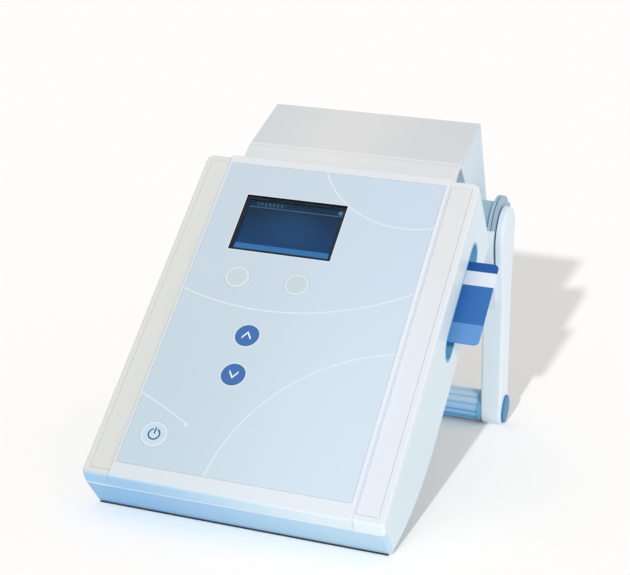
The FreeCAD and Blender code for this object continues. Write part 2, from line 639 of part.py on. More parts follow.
def make_bottom_shell():
    made = new_body("bottom_shell")
    side = draw(made, "YZ_Plane", "bottom_shell_side")
    outline(side, [
        ("-seam_reach", "-seam_depth"),
        ("-toe_reach", "-front_depth", "knee_run", "belly_z", "left"),
        ("knee_run", "-base_depth"),
        ("housing_length + heel_reach", "-base_depth"),
        ("heel_split", "floor_z"),
        ("knee_run", "floor_z", "knee_run", "belly_z", "right"),
        ("toe_inner_y", "toe_inner_z"),
        ("wall - seam_reach", "-seam_depth"),
    ])
    pad(made, side, "2 * housing_half", both=True)
    half = num("housing_half")
    toe = -num("front_depth")

    def front_corner(edge):
        return at(edge, across=half) and all(p.y < 0 and p.z > toe - 0.01 for p in points(edge))

    def rear_corner(edge):
        return at(edge, across=half) and all(p.y > num("heel_split") - 0.01 for p in points(edge))

    dress(made, "Fillet", "corner_radius", front_corner, "bottom_shell_front_corners")
    dress(made, "Fillet", "rear_radius", rear_corner, "bottom_shell_rear_corners")

    def sole(edge):
        spots = points(edge)
        low = all(p.z < toe + 0.01 for p in spots)
        belly = all(p.z < belly_line(p.y) + 0.01 for p in spots)
        return low and belly

    dress(made, "Fillet", "sole_radius", sole, "bottom_shell_sole")

    rim = draw(made, "YZ_Plane", "bottom_shell_rim")
    outline(rim, rim_corners("rim_height"))
    pad(made, rim, "2 * (housing_half - wall - fit_gap)", both=True)
    inside = draw(made, "YZ_Plane", "bottom_shell_inside")
    outline(inside, [
        ("rim_foot_y", "toe_inner_z + rim_height + 1"),
        ("rim_foot_y", "rim_foot_z", "knee_run", "belly_z", "left"),
        ("knee_run", "floor_z"),
        ("heel_split - wall - fit_gap - rim_wall", "floor_z"),
        ("heel_split - wall - fit_gap - rim_wall", "toe_inner_z + rim_height + 1"),
    ])
    pocket(made, inside, "2 * (housing_half - wall - fit_gap - rim_wall)", both=True)

    bosses = draw(made, "XY_Plane", "bottom_shell_bosses", "floor_z - wall / 2")
    wells = draw(made, "XY_Plane", "bottom_shell_screw_wells", "-base_depth")
    holes = draw(made, "XY_Plane", "bottom_shell_screw_holes", "-base_depth")
    for side_sign in ("", "-"):
        for row in ("post_front_y", "post_back_y"):
            ring(bosses, f"{side_sign}post_x", row, "post_radius")
            ring(wells, f"{side_sign}post_x", row, "screw_head_radius + fit_gap")
            ring(holes, f"{side_sign}post_x", row, "screw_radius + fit_gap")
    pad(made, bosses, "boss_height + wall / 2")
    pocket(made, wells, "screw_sink", back=True)
    pocket(made, holes, "wall + boss_height", back=True)

    stands = draw(made, "XY_Plane", "bottom_shell_board_stands", "floor_z - wall / 2")
    for side_sign in ("", "-"):
        for row in ("board_front + stud_inset", "board_back - stud_inset"):
            ring(stands, f"{side_sign}(board_half - stud_inset)", row, "stud_radius")
    pad(made, stands, "board_stand + wall / 2")
    return keep(made, on_panel)


def belly_line(y):
    """Height of the housing's underside at a place up the slope."""
    if y >= num("knee_run"):
        return -num("base_depth")
    return num("belly_z") - math.sqrt(num("belly_radius") ** 2 - (num("knee_run") - y) ** 2)


def rim_corners(height):
    """The tray's rim seen from the side: its foot is the tray's inner face."""
    return [
        ("toe_inner_y", f"toe_inner_z + {height}"),
        ("toe_inner_y", "toe_inner_z", "knee_run", "belly_z", "left"),
        ("knee_run", "floor_z"),
        ("heel_split - wall - fit_gap", "floor_z"),
        (f"heel_split - wall - fit_gap - heel_slope * {height}", f"floor_z + {height}"),
        ("knee_run", f"floor_z + {height}", "knee_run", "belly_z", "right"),
    ]



# Keypad: the raised plate, its foil, the display behind its pane and the keys


def window_rectangle(drawn, margin):
    """The display's outline, grown on every side."""
    rectangle(
        drawn,
        f"display_x - display_width / 2 - {margin}",
        f"display_y - display_height / 2 - {margin}",
        f"display_x + display_width / 2 + {margin}",
        f"display_y + display_height / 2 + {margin}",
    )


KEYS = [
    ("key_power", "power_x", "power_y", "power_radius"),
    ("key_down", "arrow_x", "arrow_down_y", "arrow_radius"),
    ("key_up", "arrow_x", "arrow_up_y", "arrow_radius"),
    ("key_display_left", "soft_left_x", "soft_y", "soft_radius"),
    ("key_display_right", "soft_right_x", "soft_y", "soft_radius"),
]


def make_front_plate():
    made = new_body("front_plate")
    side = draw(made, "YZ_Plane", "front_plate_side")
    outline(side, [
        ("-plate_overhang", "0"),
        ("-seam_reach", "-seam_depth + fit_gap"),
        ("lip_back", "-seam_depth + fit_gap"),
        ("lip_back", "-rail_drop"),
        ("plate_back", "-rail_drop"),
        ("plate_back", "0"),
    ])
    pad(made, side, "2 * plate_half", both=True)
    dress(made, "Fillet", "plate_edge", lambda edge: at(edge, z=0), "front_plate_edges")
    bed = draw(made, "XY_Plane", "front_plate_foil_bed")
    rectangle(
        bed, "-foil_half - fit_gap", "foil_front - fit_gap",
        "foil_half + fit_gap", "foil_front + foil_length + fit_gap",
    )
    pocket(made, bed, "foil_thickness")
    seat = draw(made, "XY_Plane", "front_plate_pane_seat")
    window_rectangle(seat, "fit_gap")
    pocket(made, seat, "window_thickness")
    window = draw(made, "XY_Plane", "front_plate_window")
    window_rectangle(window, "(-window_ledge)")
    pocket(made, window, "rail_drop")
    bores = draw(made, "XY_Plane", "front_plate_key_bores")
    for _, x, y, radius in KEYS:
        ring(bores, x, y, f"{radius} + key_gap")
    pocket(made, bores, "rail_drop")
    studs = draw(made, "XY_Plane", "front_plate_studs", "-rail_drop / 2")
    for sign in ("", "-"):
        for row in ("stud_front_y", "stud_back_y"):
            ring(studs, f"{sign}(keypad_half - stud_inset)", row, "stud_radius")
    pad(made, studs, "keypad_top - rail_drop / 2", back=True)
    keep(made, on_panel)


def make_front_foil():
    made = new_body("front_foil")
    sheet = draw(made, "XY_Plane", "front_foil_sheet", "-foil_thickness")
    rectangle(sheet, "-foil_half", "foil_front", "foil_half", "foil_front + foil_length")
    pad(made, sheet, "foil_thickness")
    half = num("foil_half")
    dress(
        made, "Fillet", "foil_radius",
        lambda edge: at(edge, across=half) and near(points(edge)[0].y, points(edge)[1].y),
        "front_foil_corners",
    )
    cuts = draw(made, "XY_Plane", "front_foil_cuts")
    window_rectangle(cuts, "fit_gap")
    for _, x, y, radius in KEYS:
        ring(cuts, x, y, f"{radius} + key_gap")
    pocket(made, cuts, "foil_thickness")
    keep(made, on_panel)


def make_display():
    pane = new_body("display_window")
    face = draw(pane, "XY_Plane", "display_window_face", "-window_thickness")
    window_rectangle(face, "0")
    pad(pane, face, "window_thickness")
    keep(pane, on_panel)

    frame = new_body("display_gasket")
    outer = draw(frame, "XY_Plane", "display_gasket_outer", "-rail_drop")
    window_rectangle(outer, "window_ledge")
    pad(frame, outer, "gasket_thickness", back=True)
    inner = draw(frame, "XY_Plane", "display_gasket_inner", "-rail_drop")
    window_rectangle(inner, "(-window_ledge)")
    pocket(frame, inner, "gasket_thickness")
    keep(frame, on_panel)

    module = new_body("display_module")
    case = draw(module, "XY_Plane", "display_module_case", "-rail_drop - gasket_thickness")
    rectangle(
        case, "display_x - module_width / 2", "display_y - module_height / 2",
        "display_x + module_width / 2", "display_y + module_height / 2",
    )
    pad(module, case, "module_thickness", back=True)
    glass = draw(module, "XY_Plane", "display_module_glass", "-rail_drop - gasket_thickness")
    window_rectangle(glass, "(-window_ledge)")
    pad(module, glass, "gasket_thickness + rail_drop / 3")
    keep(module, on_panel)


def make_keypad_board():
    made = new_body("keypad_board")
    face = draw(made, "XY_Plane", "keypad_board_face", "-keypad_top")
    rectangle(face, "-keypad_half", "keypad_front", "keypad_half", "keypad_back")
    pad(made, face, "board_thickness", back=True)
    keep(made, on_panel)
    domes = []
    for name, x, y, _ in KEYS:
        dome = doc.addObject("Part::Cone", f"{name}_dome")
        bind(dome, Radius1="dome_radius", Radius2="key_stem", Height="dome_height")
        bind(dome, Placement__Base__x=x, Placement__Base__y=y, Placement__Base__z="-keypad_top")
        domes.append(dome)
    keep(gather("dome_switches", domes), on_panel)


def gather(name, children):
    """Separate solids kept together as one piece."""
    made = doc.addObject("Part::Compound", name)
    made.Label = name
    made.Links = children
    return made


def make_key(name, x, y, radius):
    made = new_body(name)
    cap = draw(made, "XY_Plane", f"{name}_cap", "-rail_drop - fit_gap")
    ring(cap, x, y, radius)
    pad(made, cap, "key_proud + rail_drop + fit_gap")
    face = num("key_proud")
    dress(made, "Fillet", "key_proud * 0.8", lambda edge: at(edge, z=face), f"{name}_edge")
    flange = draw(made, "XY_Plane", f"{name}_flange", "-rail_drop - fit_gap")
    ring(flange, x, y, f"{radius} + key_flange")
    pad(made, flange, "flange_thickness", back=True)
    stem = draw(made, "XY_Plane", f"{name}_stem", "-rail_drop - fit_gap - flange_thickness")
    ring(stem, x, y, "key_stem")
    reach = "keypad_top - dome_height - key_travel - rail_drop - flange_thickness - 2 * fit_gap"
    pad(made, stem, reach, back=True)
    keep(made, on_panel)


def make_trim_strips():
    for name, sign in (("trim_strip_right", ""), ("trim_strip_left", "-")):
        made = new_body(name)
        face = draw(made, "XY_Plane", f"{name}_face", "-rail_drop - strip_seat")
        edges = ["plate_half + strip_inset + fit_gap", "plate_half + strip_inset + strip_width - fit_gap"]
        left, right = edges if sign == "" else [f"-({edge})" for edge in edges[::-1]]
        rectangle(face, left, "strip_margin + fit_gap", right, "housing_length - strip_margin - fit_gap")
        pad(made, face, "strip_thickness")
        top = num("strip_thickness") - num("strip_seat") - num("rail_drop")
        dress(made, "Fillet", "fit_gap", lambda edge: at(edge, z=top), f"{name}_edges")
        keep(made, on_panel)


# Chip card, its slot and its reader


def make_card():
    made = new_body("patient_card")
    face = draw(made, "XY_Plane", "patient_card_face", "-card_depth - card_thickness / 2")
    rectangle(face, "card_inner", "card_y - card_width / 2", "card_outer", "card_y + card_width / 2")
    pad(made, face, "card_thickness")

    def corner(edge):
        spots = points(edge)
        return near(spots[0].x, spots[1].x) and near(spots[0].y, spots[1].y)

    dress(made, "Fillet", "card_radius", corner, "patient_card_corners")
    keep(made, on_panel)


def make_slot_bezel():
    made = new_body("card_slot_bezel")
    barrel = draw(made, "YZ_Plane", "card_slot_bezel_barrel", "bezel_back")
    stadium(barrel, "card_y", "-card_depth", "slot_half", "(slot_width / 2 - fit_gap)")
    pad(made, barrel, "housing_half - bezel_back")
    flange = draw(made, "YZ_Plane", "card_slot_bezel_flange", "housing_half - wall")
    stadium(flange, "card_y", "-card_depth", "slot_half", "(slot_width / 2 + bezel_flange)")
    pad(made, flange, "bezel_wall", back=True)
    recess = draw(made, "YZ_Plane", "card_slot_bezel_recess", "housing_half")
    stadium(recess, "card_y", "-card_depth", "slot_half", "(slot_width / 2 - fit_gap - bezel_wall)")
    pocket(made, recess, "slot_recess")
    slot = draw(made, "YZ_Plane", "card_slot_bezel_slot", "housing_half")
    card_section(slot)
    pocket(made, slot, "housing_half - bezel_back")
    keep(made, on_panel)


def card_section(drawn):
    """The card's cross-section with its clearance."""
    rectangle(
        drawn,
        "card_y - card_width / 2 - card_gap",
        "-card_depth - card_thickness / 2 - card_gap",
        "card_y + card_width / 2 + card_gap",
        "-card_depth + card_thickness / 2 + card_gap",
    )


def make_card_reader():
    made = new_body("card_reader")
    case = draw(made, "YZ_Plane", "card_reader_case", "reader_inner")
    rectangle(
        case, "card_y - reader_width / 2", "-card_depth - reader_height / 2",
        "card_y + reader_width / 2", "-card_depth + reader_height / 2",
    )
    pad(made, case, "reader_outer - reader_inner")
    slot = draw(made, "YZ_Plane", "card_reader_slot", "reader_outer")
    card_section(slot)
    pocket(made, slot, "reader_outer - card_inner + card_gap")
    window = draw(made, "XY_Plane", "card_reader_window", "-card_depth + reader_height / 2")
    rectangle(
        window, "reader_outer - card_width / 2", "card_y - card_width / 4",
        "reader_outer + 1", "card_y + card_width / 4",
    )
    pocket(made, window, "reader_height / 2")
    keep(made, on_panel)
    spacers = []
    seat = "board_z + board_thickness"
    for number, x in enumerate(("card_inner + spacer_radius", "board_half - spacer_radius")):
        for row, sign in enumerate(("-", "+")):
            spacer = doc.addObject("Part::Cylinder", f"reader_spacer_{number}{row}")
            bind(spacer, Radius="spacer_radius", Height=f"-card_depth - reader_height / 2 - ({seat})")
            across = f"card_y {sign} (card_width / 2 + spacer_inset - spacer_radius)"
            bind(spacer, Placement__Base__x=x, Placement__Base__y=across, Placement__Base__z=seat)
            spacers.append(spacer)
    keep(gather("reader_spacers", spacers), on_panel)


# Boards, loudspeaker and screws


def block(name, low, size):
    """A box from its low corner and its size, in the panel's frame."""
    made = doc.addObject("Part::Box", name)
    bind(made, Length=size[0], Width=size[1], Height=size[2])
    bind(made, Placement__Base__x=low[0], Placement__Base__y=low[1], Placement__Base__z=low[2])
    return made


def fuse(name, children):
    made = doc.addObject("Part::MultiFuse", name)
    made.Label = name
    made.Shapes = children
    return made


def make_main_board():
    top = "board_z + board_thickness"
    length = "board_back - board_front"
    board = block(
        "main_board_sheet",
        ("-board_half", "board_front", "board_z"),
        ("2 * board_half", length, "board_thickness"),
    )
    can = block(
        "main_board_can", ("-board_half * 0.7", f"board_front + ({length}) / 4", top),
        ("board_half * 0.6", f"({length}) / 2", "shield_height"),
    )
    plug_rows = [
        block(
            f"main_board_plug_{number}", (f"board_half * {place_x}", "board_back - 3 * shield_height", top),
            ("2 * shield_height", "shield_height", "shield_height"),
        )
        for number, place_x in enumerate(("-0.5", "0", "0.5"))
    ]
    keep(fuse("main_board", [board, can] + plug_rows), on_panel)


def make_speaker():
    made = new_body("speaker")
    frame = draw(made, "XY_Plane", "speaker_frame", "floor_z + fit_gap")
    ring(frame, "0", "speaker_y", "speaker_radius")
    pad(made, frame, "speaker_height / 3")
    magnet = draw(made, "XY_Plane", "speaker_magnet", "floor_z + fit_gap + speaker_height / 3")
    ring(magnet, "0", "speaker_y", "speaker_radius * 0.6")
    pad(made, magnet, "speaker_height * 2 / 3")
    keep(made, on_panel)


def make_housing_screws():
    screws = []
    for column, sign in enumerate(("", "-")):
        for row, place_y in enumerate(("post_front_y", "post_back_y")):
            parts = []
            for part, radius, height, low in (
                ("head", "screw_head_radius", "screw_head_height", "screw_sink - base_depth - screw_head_height"),
                ("shaft", "screw_radius", "screw_length", "screw_sink - base_depth"),
            ):
                made = doc.addObject("Part::Cylinder", f"screw_{column}{row}_{part}")
                bind(made, Radius=radius, Height=height)
                bind(made, Placement__Base__x=f"{sign}post_x", Placement__Base__y=place_y)
                bind(made, Placement__Base__z=low)
                parts.append(made)
            screws.append(fuse(f"screw_{column}{row}", parts))
    keep(gather("housing_screws", screws), on_panel)


def make_front_foot():
    made = new_body("front_foot")
    side = draw(made, "YZ_Plane", "front_foot_side")
    outline(side, [
        ("-foot_length / 2", "0"),
        ("foot_length / 2", "0"),
        ("foot_length / 2", "foot_back_z", "belly_row_y", "belly_row_z", "right"),
        ("-foot_length / 2", "foot_front_z"),
    ])
    pad(made, side, "2 * foot_half", both=True)
    keep(made, lambda foot: None)


# Rear block: battery, power module and sockets under a sloping cover


def make_rear_hood():
    made = new_body("rear_hood")
    side = draw(made, "YZ_Plane", "rear_hood_side")
    outline(side, [
        ("lip_front", "-lip_depth"),
        ("lip_front", "lip_under"),
        ("under_bend", "lip_under"),
        ("back_top_y", "back_top_z"),
        ("crest_run", "-crest_depth"),
        ("bend_run", "-lip_depth"),
    ])
    pad(made, side, "2 * block_half", both=True)
    half = num("block_half")
    crest = num("crest_run")

    def upper(edge):
        if at(edge, y=crest):
            return True
        if not at(edge, across=half):
            return False
        return all(p.z > cover_line(p.y) - 0.01 for p in points(edge))

    dress(made, "Fillet", "hood_edge", upper, "rear_hood_edges")
    keep(made, on_panel)


def cover_line(y):
    """Height of the rear cover's upper face at a place up the slope."""
    fall = max(0.0, y - num("bend_run")) * num("hood_fall")
    return -num("lip_depth") - fall


def make_rear_block():
    made = new_body("rear_block")
    side = draw(made, "YZ_Plane", "rear_block_side")
    front = "neck_foot_y + fit_gap"
    outline(side, [
        ("channel_top_run", "front_top_z"),
        ("channel_foot_run", "-channel_depth"),
        ("neck_top_y + fit_gap", "-channel_depth"),
        (front, "-base_depth"),
        (front, "-block_depth"),
        ("block_back_run", "-block_depth"),
        ("back_bend_run", "-back_bend_depth"),
        ("back_top_y", "back_top_z"),
    ])
    pad(made, side, "2 * block_half", both=True)
    floor = -num("block_depth")
    dress(made, "Fillet", "block_radius", lambda edge: at(edge, z=floor), "rear_block_lower_edges")

    hollow = draw(made, "YZ_Plane", "rear_block_hollow")
    outline(hollow, [
        ("channel_top_run + block_wall", "0"),
        ("channel_foot_run + block_wall", "-channel_depth - block_wall"),
        (f"{front} + block_wall", "-channel_depth - block_wall"),
        (f"{front} + block_wall", "-block_depth + block_wall"),
        ("block_back_run - block_wall", "-block_depth + block_wall"),
        ("back_bend_run - block_wall", "-back_bend_depth"),
        ("back_top_y - block_wall", "back_top_z"),
        ("back_top_y - block_wall", "0"),
    ])
    pocket(made, hollow, "2 * (block_half - block_wall)", both=True)
    shelf = draw(made, "YZ_Plane", "rear_block_shelf")
    back = "back_bend_run - block_wall / 2"
    rectangle(shelf, f"{front} + block_wall / 2", "-shelf_depth", back, "-shelf_depth + shelf_thickness")
    pad(made, shelf, "2 * block_half - block_wall", both=True)

    rebate = draw(made, "XY_Plane", "rear_block_door_rebate", "-block_depth")
    rectangle(
        rebate, "-door_half", "battery_front - door_margin", "door_half", "battery_back + door_margin"
    )
    pocket(made, rebate, "door_step", back=True)
    bay = draw(made, "XY_Plane", "rear_block_battery_bay", "-block_depth")
    rectangle(
        bay, "-battery_half - fit_gap", "battery_front - fit_gap",
        "battery_half + fit_gap", "battery_back + fit_gap",
    )
    pocket(made, bay, "block_wall", back=True)
    bearing = draw(made, "YZ_Plane", "rear_block_pin_bores")
    ring(bearing, "pivot_run", "-pivot_depth", "pin_radius + turn_gap")
    pocket(made, bearing, "2 * block_half + 1", both=True)
    duct = draw(made, "XZ_Plane", "rear_block_cable_duct", "-neck_top_y")
    rectangle(duct, "-20", "-base_depth + 3 * wall", "20", "-base_depth + 7 * wall")
    pocket(made, duct, "2 * block_wall")
    holes = draw(made, "XZ_Plane", "rear_block_socket_holes", "-(back_bend_run - block_wall)")
    ring(holes, "-socket_x", "socket_back_z", "socket_bore + socket_wall + 4 * fit_gap")
    ring(holes, "socket_x", "socket_back_z", "charge_bore + socket_wall + 4 * fit_gap")
    pocket(made, holes, "crest_run - back_bend_run + block_wall")
    keep(made, on_panel)


def make_battery():
    pack = new_body("battery_pack")
    base = draw(pack, "XY_Plane", "battery_pack_base", "-block_depth + door_step + fit_gap")
    rectangle(base, "-battery_half", "battery_front", "battery_half", "battery_back")
    pad(pack, base, "block_depth - door_step - shelf_depth - 2 * fit_gap")
    dress(pack, "Fillet", "block_radius", lambda edge: along_x(edge), "battery_pack_edges")
    keep(pack, on_panel)

    door = new_body("battery_door")
    face = draw(door, "XY_Plane", "battery_door_face", "-block_depth")
    rectangle(
        face, "-door_half + fit_gap", "battery_front - door_margin + fit_gap",
        "door_half - fit_gap", "battery_back + door_margin - fit_gap",
    )
    pad(door, face, "door_step")
    keep(door, on_panel)


def make_power_module():
    low = "shelf_thickness - shelf_depth"
    front = "battery_back - 1.5 * power_length"
    sheet = block(
        "power_module_sheet", ("-power_half", front, low),
        ("2 * power_half", "1.5 * power_length", "board_thickness"),
    )
    coil = block(
        "power_module_coil", ("-power_half * 0.8", front, f"{low} + board_thickness"),
        ("power_half * 0.7", "power_length", "power_height - board_thickness"),
    )
    store = doc.addObject("Part::Cylinder", "power_module_store")
    bind(store, Radius="power_length / 3", Height="power_height - board_thickness")
    bind(store, Placement__Base__x="power_half / 2", Placement__Base__y=f"{front} + power_length / 2")
    bind(store, Placement__Base__z=f"{low} + board_thickness")
    keep(fuse("power_module", [sheet, coil, store]), on_panel)


def make_socket(name, x, bore, length):
    made = new_body(name)
    section = draw(made, "XZ_Plane", f"{name}_section")
    outer = f"{bore} + socket_wall"
    low = f"flange_height - {length}"
    outline(section, [
        ("0", f"{low} - socket_wall"),
        (outer, f"{low} - socket_wall"),
        (outer, "0"),
        (f"{outer} + socket_flange", "0"),
        (f"{outer} + socket_flange", "flange_height"),
        (bore, "flange_height"),
        (bore, low),
        ("0", low),
    ])
    turned(made, section, "Z_Axis")
    keep(made, lambda socket: place(socket, "socket_turn", "socket_row_y", "socket_row_z", x))


# Hinge and handle


def make_hinge(side, sign):
    back = sign == "-"
    hub = new_body(f"hinge_hub_{side}")
    neck = draw(hub, "YZ_Plane", f"hinge_hub_{side}_neck", f"{sign}block_half")
    ring(neck, "pivot_run", "-pivot_depth", "hub_step")
    pad(hub, neck, "neck_width", back=back)
    barrel = draw(hub, "YZ_Plane", f"hinge_hub_{side}_barrel", f"{sign}(block_half + neck_width)")
    ring(barrel, "pivot_run", "-pivot_depth", "hub_radius")
    pad(hub, barrel, "hub_width", back=back)
    bore = draw(hub, "YZ_Plane", f"hinge_hub_{side}_bore", f"{sign}block_half")
    ring(bore, "pivot_run", "-pivot_depth", "pin_radius + turn_gap")
    pocket(hub, bore, "neck_width + hub_width", back=not back)
    keep(hub, on_panel)

    disc = new_body(f"handle_disc_{side}")
    face = draw(disc, "YZ_Plane", f"handle_disc_{side}_face", f"{sign}disc_inner")
    ring(face, "0", "0", "hub_radius")
    pad(disc, face, "disc_width", back=back)
    boss = draw(disc, "YZ_Plane", f"handle_disc_{side}_boss", f"{sign}(disc_inner + disc_width)")
    ring(boss, "0", "0", "boss_radius")
    pad(disc, boss, "boss_width", back=back)
    hole = draw(disc, "YZ_Plane", f"handle_disc_{side}_hole", f"{sign}disc_inner")
    ring(hole, "0", "0", "pin_radius")
    pocket(disc, hole, "disc_width + boss_width", back=not back)
    seat = draw(disc, "YZ_Plane", f"handle_disc_{side}_seat", f"{sign}disc_inner")
    ring(seat, "0", "0", "washer_radius")
    pocket(disc, seat, "washer_seat", back=not back)
    keep(disc, on_pivot)

    washer = new_body(f"friction_washer_{side}")
    flat = draw(washer, "YZ_Plane", f"friction_washer_{side}_flat", f"{sign}(disc_inner + washer_seat)")
    ring(flat, "0", "0", "washer_radius")
    ring(flat, "0", "0", "pin_radius")
    pad(washer, flat, "washer_seat + side_gap - turn_gap", back=not back)
    keep(washer, on_pivot)

    pivot = new_body(f"pivot_pin_{side}")
    shaft = draw(pivot, "YZ_Plane", f"pivot_pin_{side}_shaft", f"{sign}(cheek_inner + pin_grip)")
    ring(shaft, "0", "0", "pin_radius")
    pad(pivot, shaft, "cheek_inner + pin_grip - block_half + block_wall + fit_gap", back=not back)
    head = draw(pivot, "YZ_Plane", f"pivot_pin_{side}_head", f"{sign}(block_half - block_wall - fit_gap)")
    ring(head, "0", "0", "pin_head_radius")
    pad(pivot, head, "pin_head_height", back=not back)
    keep(pivot, on_pivot)


def make_arm(side, sign):
    back = sign == "-"
    made = new_body(f"handle_arm_{side}")
    shank = [
        ("-arm_waist", "-waist_drop"),
        ("-end_y", "end_z", "0", "-arm_length", "left"),
        ("end_y", "end_z"),
        ("arm_waist", "-waist_drop"),
    ]
    cup = draw(made, "YZ_Plane", f"handle_arm_{side}_cup", f"{sign}arm_inner")
    outline(cup, [
        ("cup_half", "cup_rise"),
        ("-cup_half", "cup_rise", "0", "0", "left"),
        ("-cup_y", "cup_z"),
        *shank,
        ("cup_y", "cup_z", "0", "0", "left"),
    ])
    pad(made, cup, "cheek_inner - arm_inner", back=back)
    inner = num("arm_inner")
    dress(made, "Chamfer", "arm_edge / 2", lambda edge: at(edge, across=inner), f"handle_arm_{side}_inner_edges")
    cheek = draw(made, "YZ_Plane", f"handle_arm_{side}_cheek", f"{sign}cheek_inner")
    outline(cheek, [
        ("touch_y", "touch_z", "0", "0", "left"),
        ("-touch_y", "touch_z"),
        *shank,
    ])
    pad(made, cheek, "arm_outer - cheek_inner", back=back)
    outer = num("arm_outer")
    dress(made, "Fillet", "arm_edge", lambda edge: at(edge, across=outer), f"handle_arm_{side}_outer_edges")
    nest = draw(made, "YZ_Plane", f"handle_arm_{side}_disc_nest", f"{sign}cheek_inner")
    ring(nest, "0", "0", "hub_radius + fit_gap")
    pocket(made, nest, "cheek_inner - hub_face + hub_width + side_gap", back=back)
    drum = draw(made, "YZ_Plane", f"handle_arm_{side}_drum_relief", f"{sign}cheek_inner")
    ring(drum, "0", "0", "hub_step + side_gap")
    pocket(made, drum, "cheek_inner - arm_inner", back=back)
    bore = draw(made, "YZ_Plane", f"handle_arm_{side}_pin_bore", f"{sign}cheek_inner")
    ring(bore, "0", "0", "pin_radius")
    pocket(made, bore, "pin_grip", back=not back)
    seat = draw(made, "YZ_Plane", f"handle_arm_{side}_tube_seat", f"{sign}arm_inner")
    ring(seat, "0", "-arm_length", "tube_radius")
    pocket(made, seat, "tube_seat", back=not back)
    plug = draw(made, "YZ_Plane", f"handle_arm_{side}_cap_hole", f"{sign}arm_outer")
    ring(plug, "0", "-arm_length", "cap_plug")
    pocket(made, plug, "cap_plug_length + fit_gap", back=back)
    keep(made, on_pivot)

    cap = new_body(f"end_cap_{side}")
    disc = draw(cap, "YZ_Plane", f"end_cap_{side}_disc", f"{sign}arm_outer")
    ring(disc, "0", "-arm_length", "cap_radius")
    pad(cap, disc, "cap_height", back=back)
    rim = num("arm_outer") + num("cap_height")
    dress(cap, "Fillet", "cap_height * 0.7", lambda edge: at(edge, across=rim), f"end_cap_{side}_edge")
    stub = draw(cap, "YZ_Plane", f"end_cap_{side}_stub", f"{sign}arm_outer")
    ring(stub, "0", "-arm_length", "cap_plug")
    pad(cap, stub, "cap_plug_length", back=not back)
    keep(cap, on_pivot)

    collar = new_body(f"grip_collar_{side}")
    band = draw(collar, "YZ_Plane", f"grip_collar_{side}_band", f"{sign}arm_inner")
    ring(band, "0", "-arm_length", "collar_radius")
    ring(band, "0", "-arm_length", "tube_radius")
    pad(collar, band, "collar_width", back=not back)
    keep(collar, on_pivot)


def make_grip():
    tube = new_body("grip_tube")
    wall = draw(tube, "YZ_Plane", "grip_tube_wall")
    ring(wall, "0", "-arm_length", "tube_radius")
    ring(wall, "0", "-arm_length", "tube_radius - tube_wall")
    pad(tube, wall, "2 * (arm_inner + tube_seat)", both=True)
    keep(tube, on_pivot)

    sleeve = new_body("grip_sleeve")
    round_face = draw(sleeve, "YZ_Plane", "grip_sleeve_round")
    ring(round_face, "0", "0", "grip_radius")
    ring(round_face, "0", "0", "tube_radius")
    pad(sleeve, round_face, "2 * grip_half", both=True)
    flute = draw(sleeve, "YZ_Plane", "grip_sleeve_flute")
    ring(flute, "0", "grip_radius + flute_radius - flute_depth", "flute_radius")
    first = pocket(sleeve, flute, "2 * grip_half", both=True)
    row = sleeve.newObject("PartDesign::PolarPattern", "grip_sleeve_flutes")
    row.Originals = [first]
    axis = next(item for item in sleeve.Origin.OriginFeatures if item.Role == "X_Axis")
    row.Axis = (axis, [""])
    row.Angle = 360
    bind(row, Occurrences="flute_count")
    sleeve.Tip = row
    doc.recompute()
    swing = "pivot_row_y + arm_length * sin(lean)"
    drop = "pivot_row_z - arm_length * cos(lean)"
    keep(sleeve, lambda made: place(made, "lean", swing, drop))


def check(made):
    """Stops the build on a piece that failed without raising an error."""
    if {"Invalid", "Error"} & set(made.State):
        raise RuntimeError(f"{made.Label} is {made.State}")


make_top_shell()
make_bottom_shell()
make_front_plate()
make_front_foil()
make_display()
make_keypad_board()
for key in KEYS:
    make_key(*key)
make_trim_strips()
make_slot_bezel()
make_card_reader()
make_card()
make_main_board()
make_speaker()
make_housing_screws()
make_front_foot()
make_rear_block()
make_rear_hood()
make_battery()
make_power_module()
make_socket("patient_cable_socket", "-socket_x", "socket_bore", "socket_length")
make_socket("charging_socket", "socket_x", "charge_bore", "charge_length")
for hinge_side, hinge_sign in (("right", ""), ("left", "-")):
    make_hinge(hinge_side, hinge_sign)
    make_arm(hinge_side, hinge_sign)
make_grip()

doc.removeObject("Reading")
doc.recompute()
for item in doc.Objects:
    check(item)
os.makedirs("parts", exist_ok=True)
for piece in pieces:
    shape = piece.Shape
    if shape.isNull() or not shape.isValid() or not shape.Solids:
        raise RuntimeError(f"{piece.Label} has no valid solid")
    shape.exportStep(f"parts/{piece.Label}.step")
print(len(pieces), "pieces")
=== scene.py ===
# %% [markdown]
# # A bedside monitor with a keypad panel, a chip card and a folding stand
# The solids come in ready-made and stay where they are. This lesson gives them their finishes,
# adds the small things that repeat, and sets up the camera, the floor and the light of a plain
# studio picture.

# %% Load the solids
import json
import math

import bpy
from mathutils import Euler, Matrix, Vector


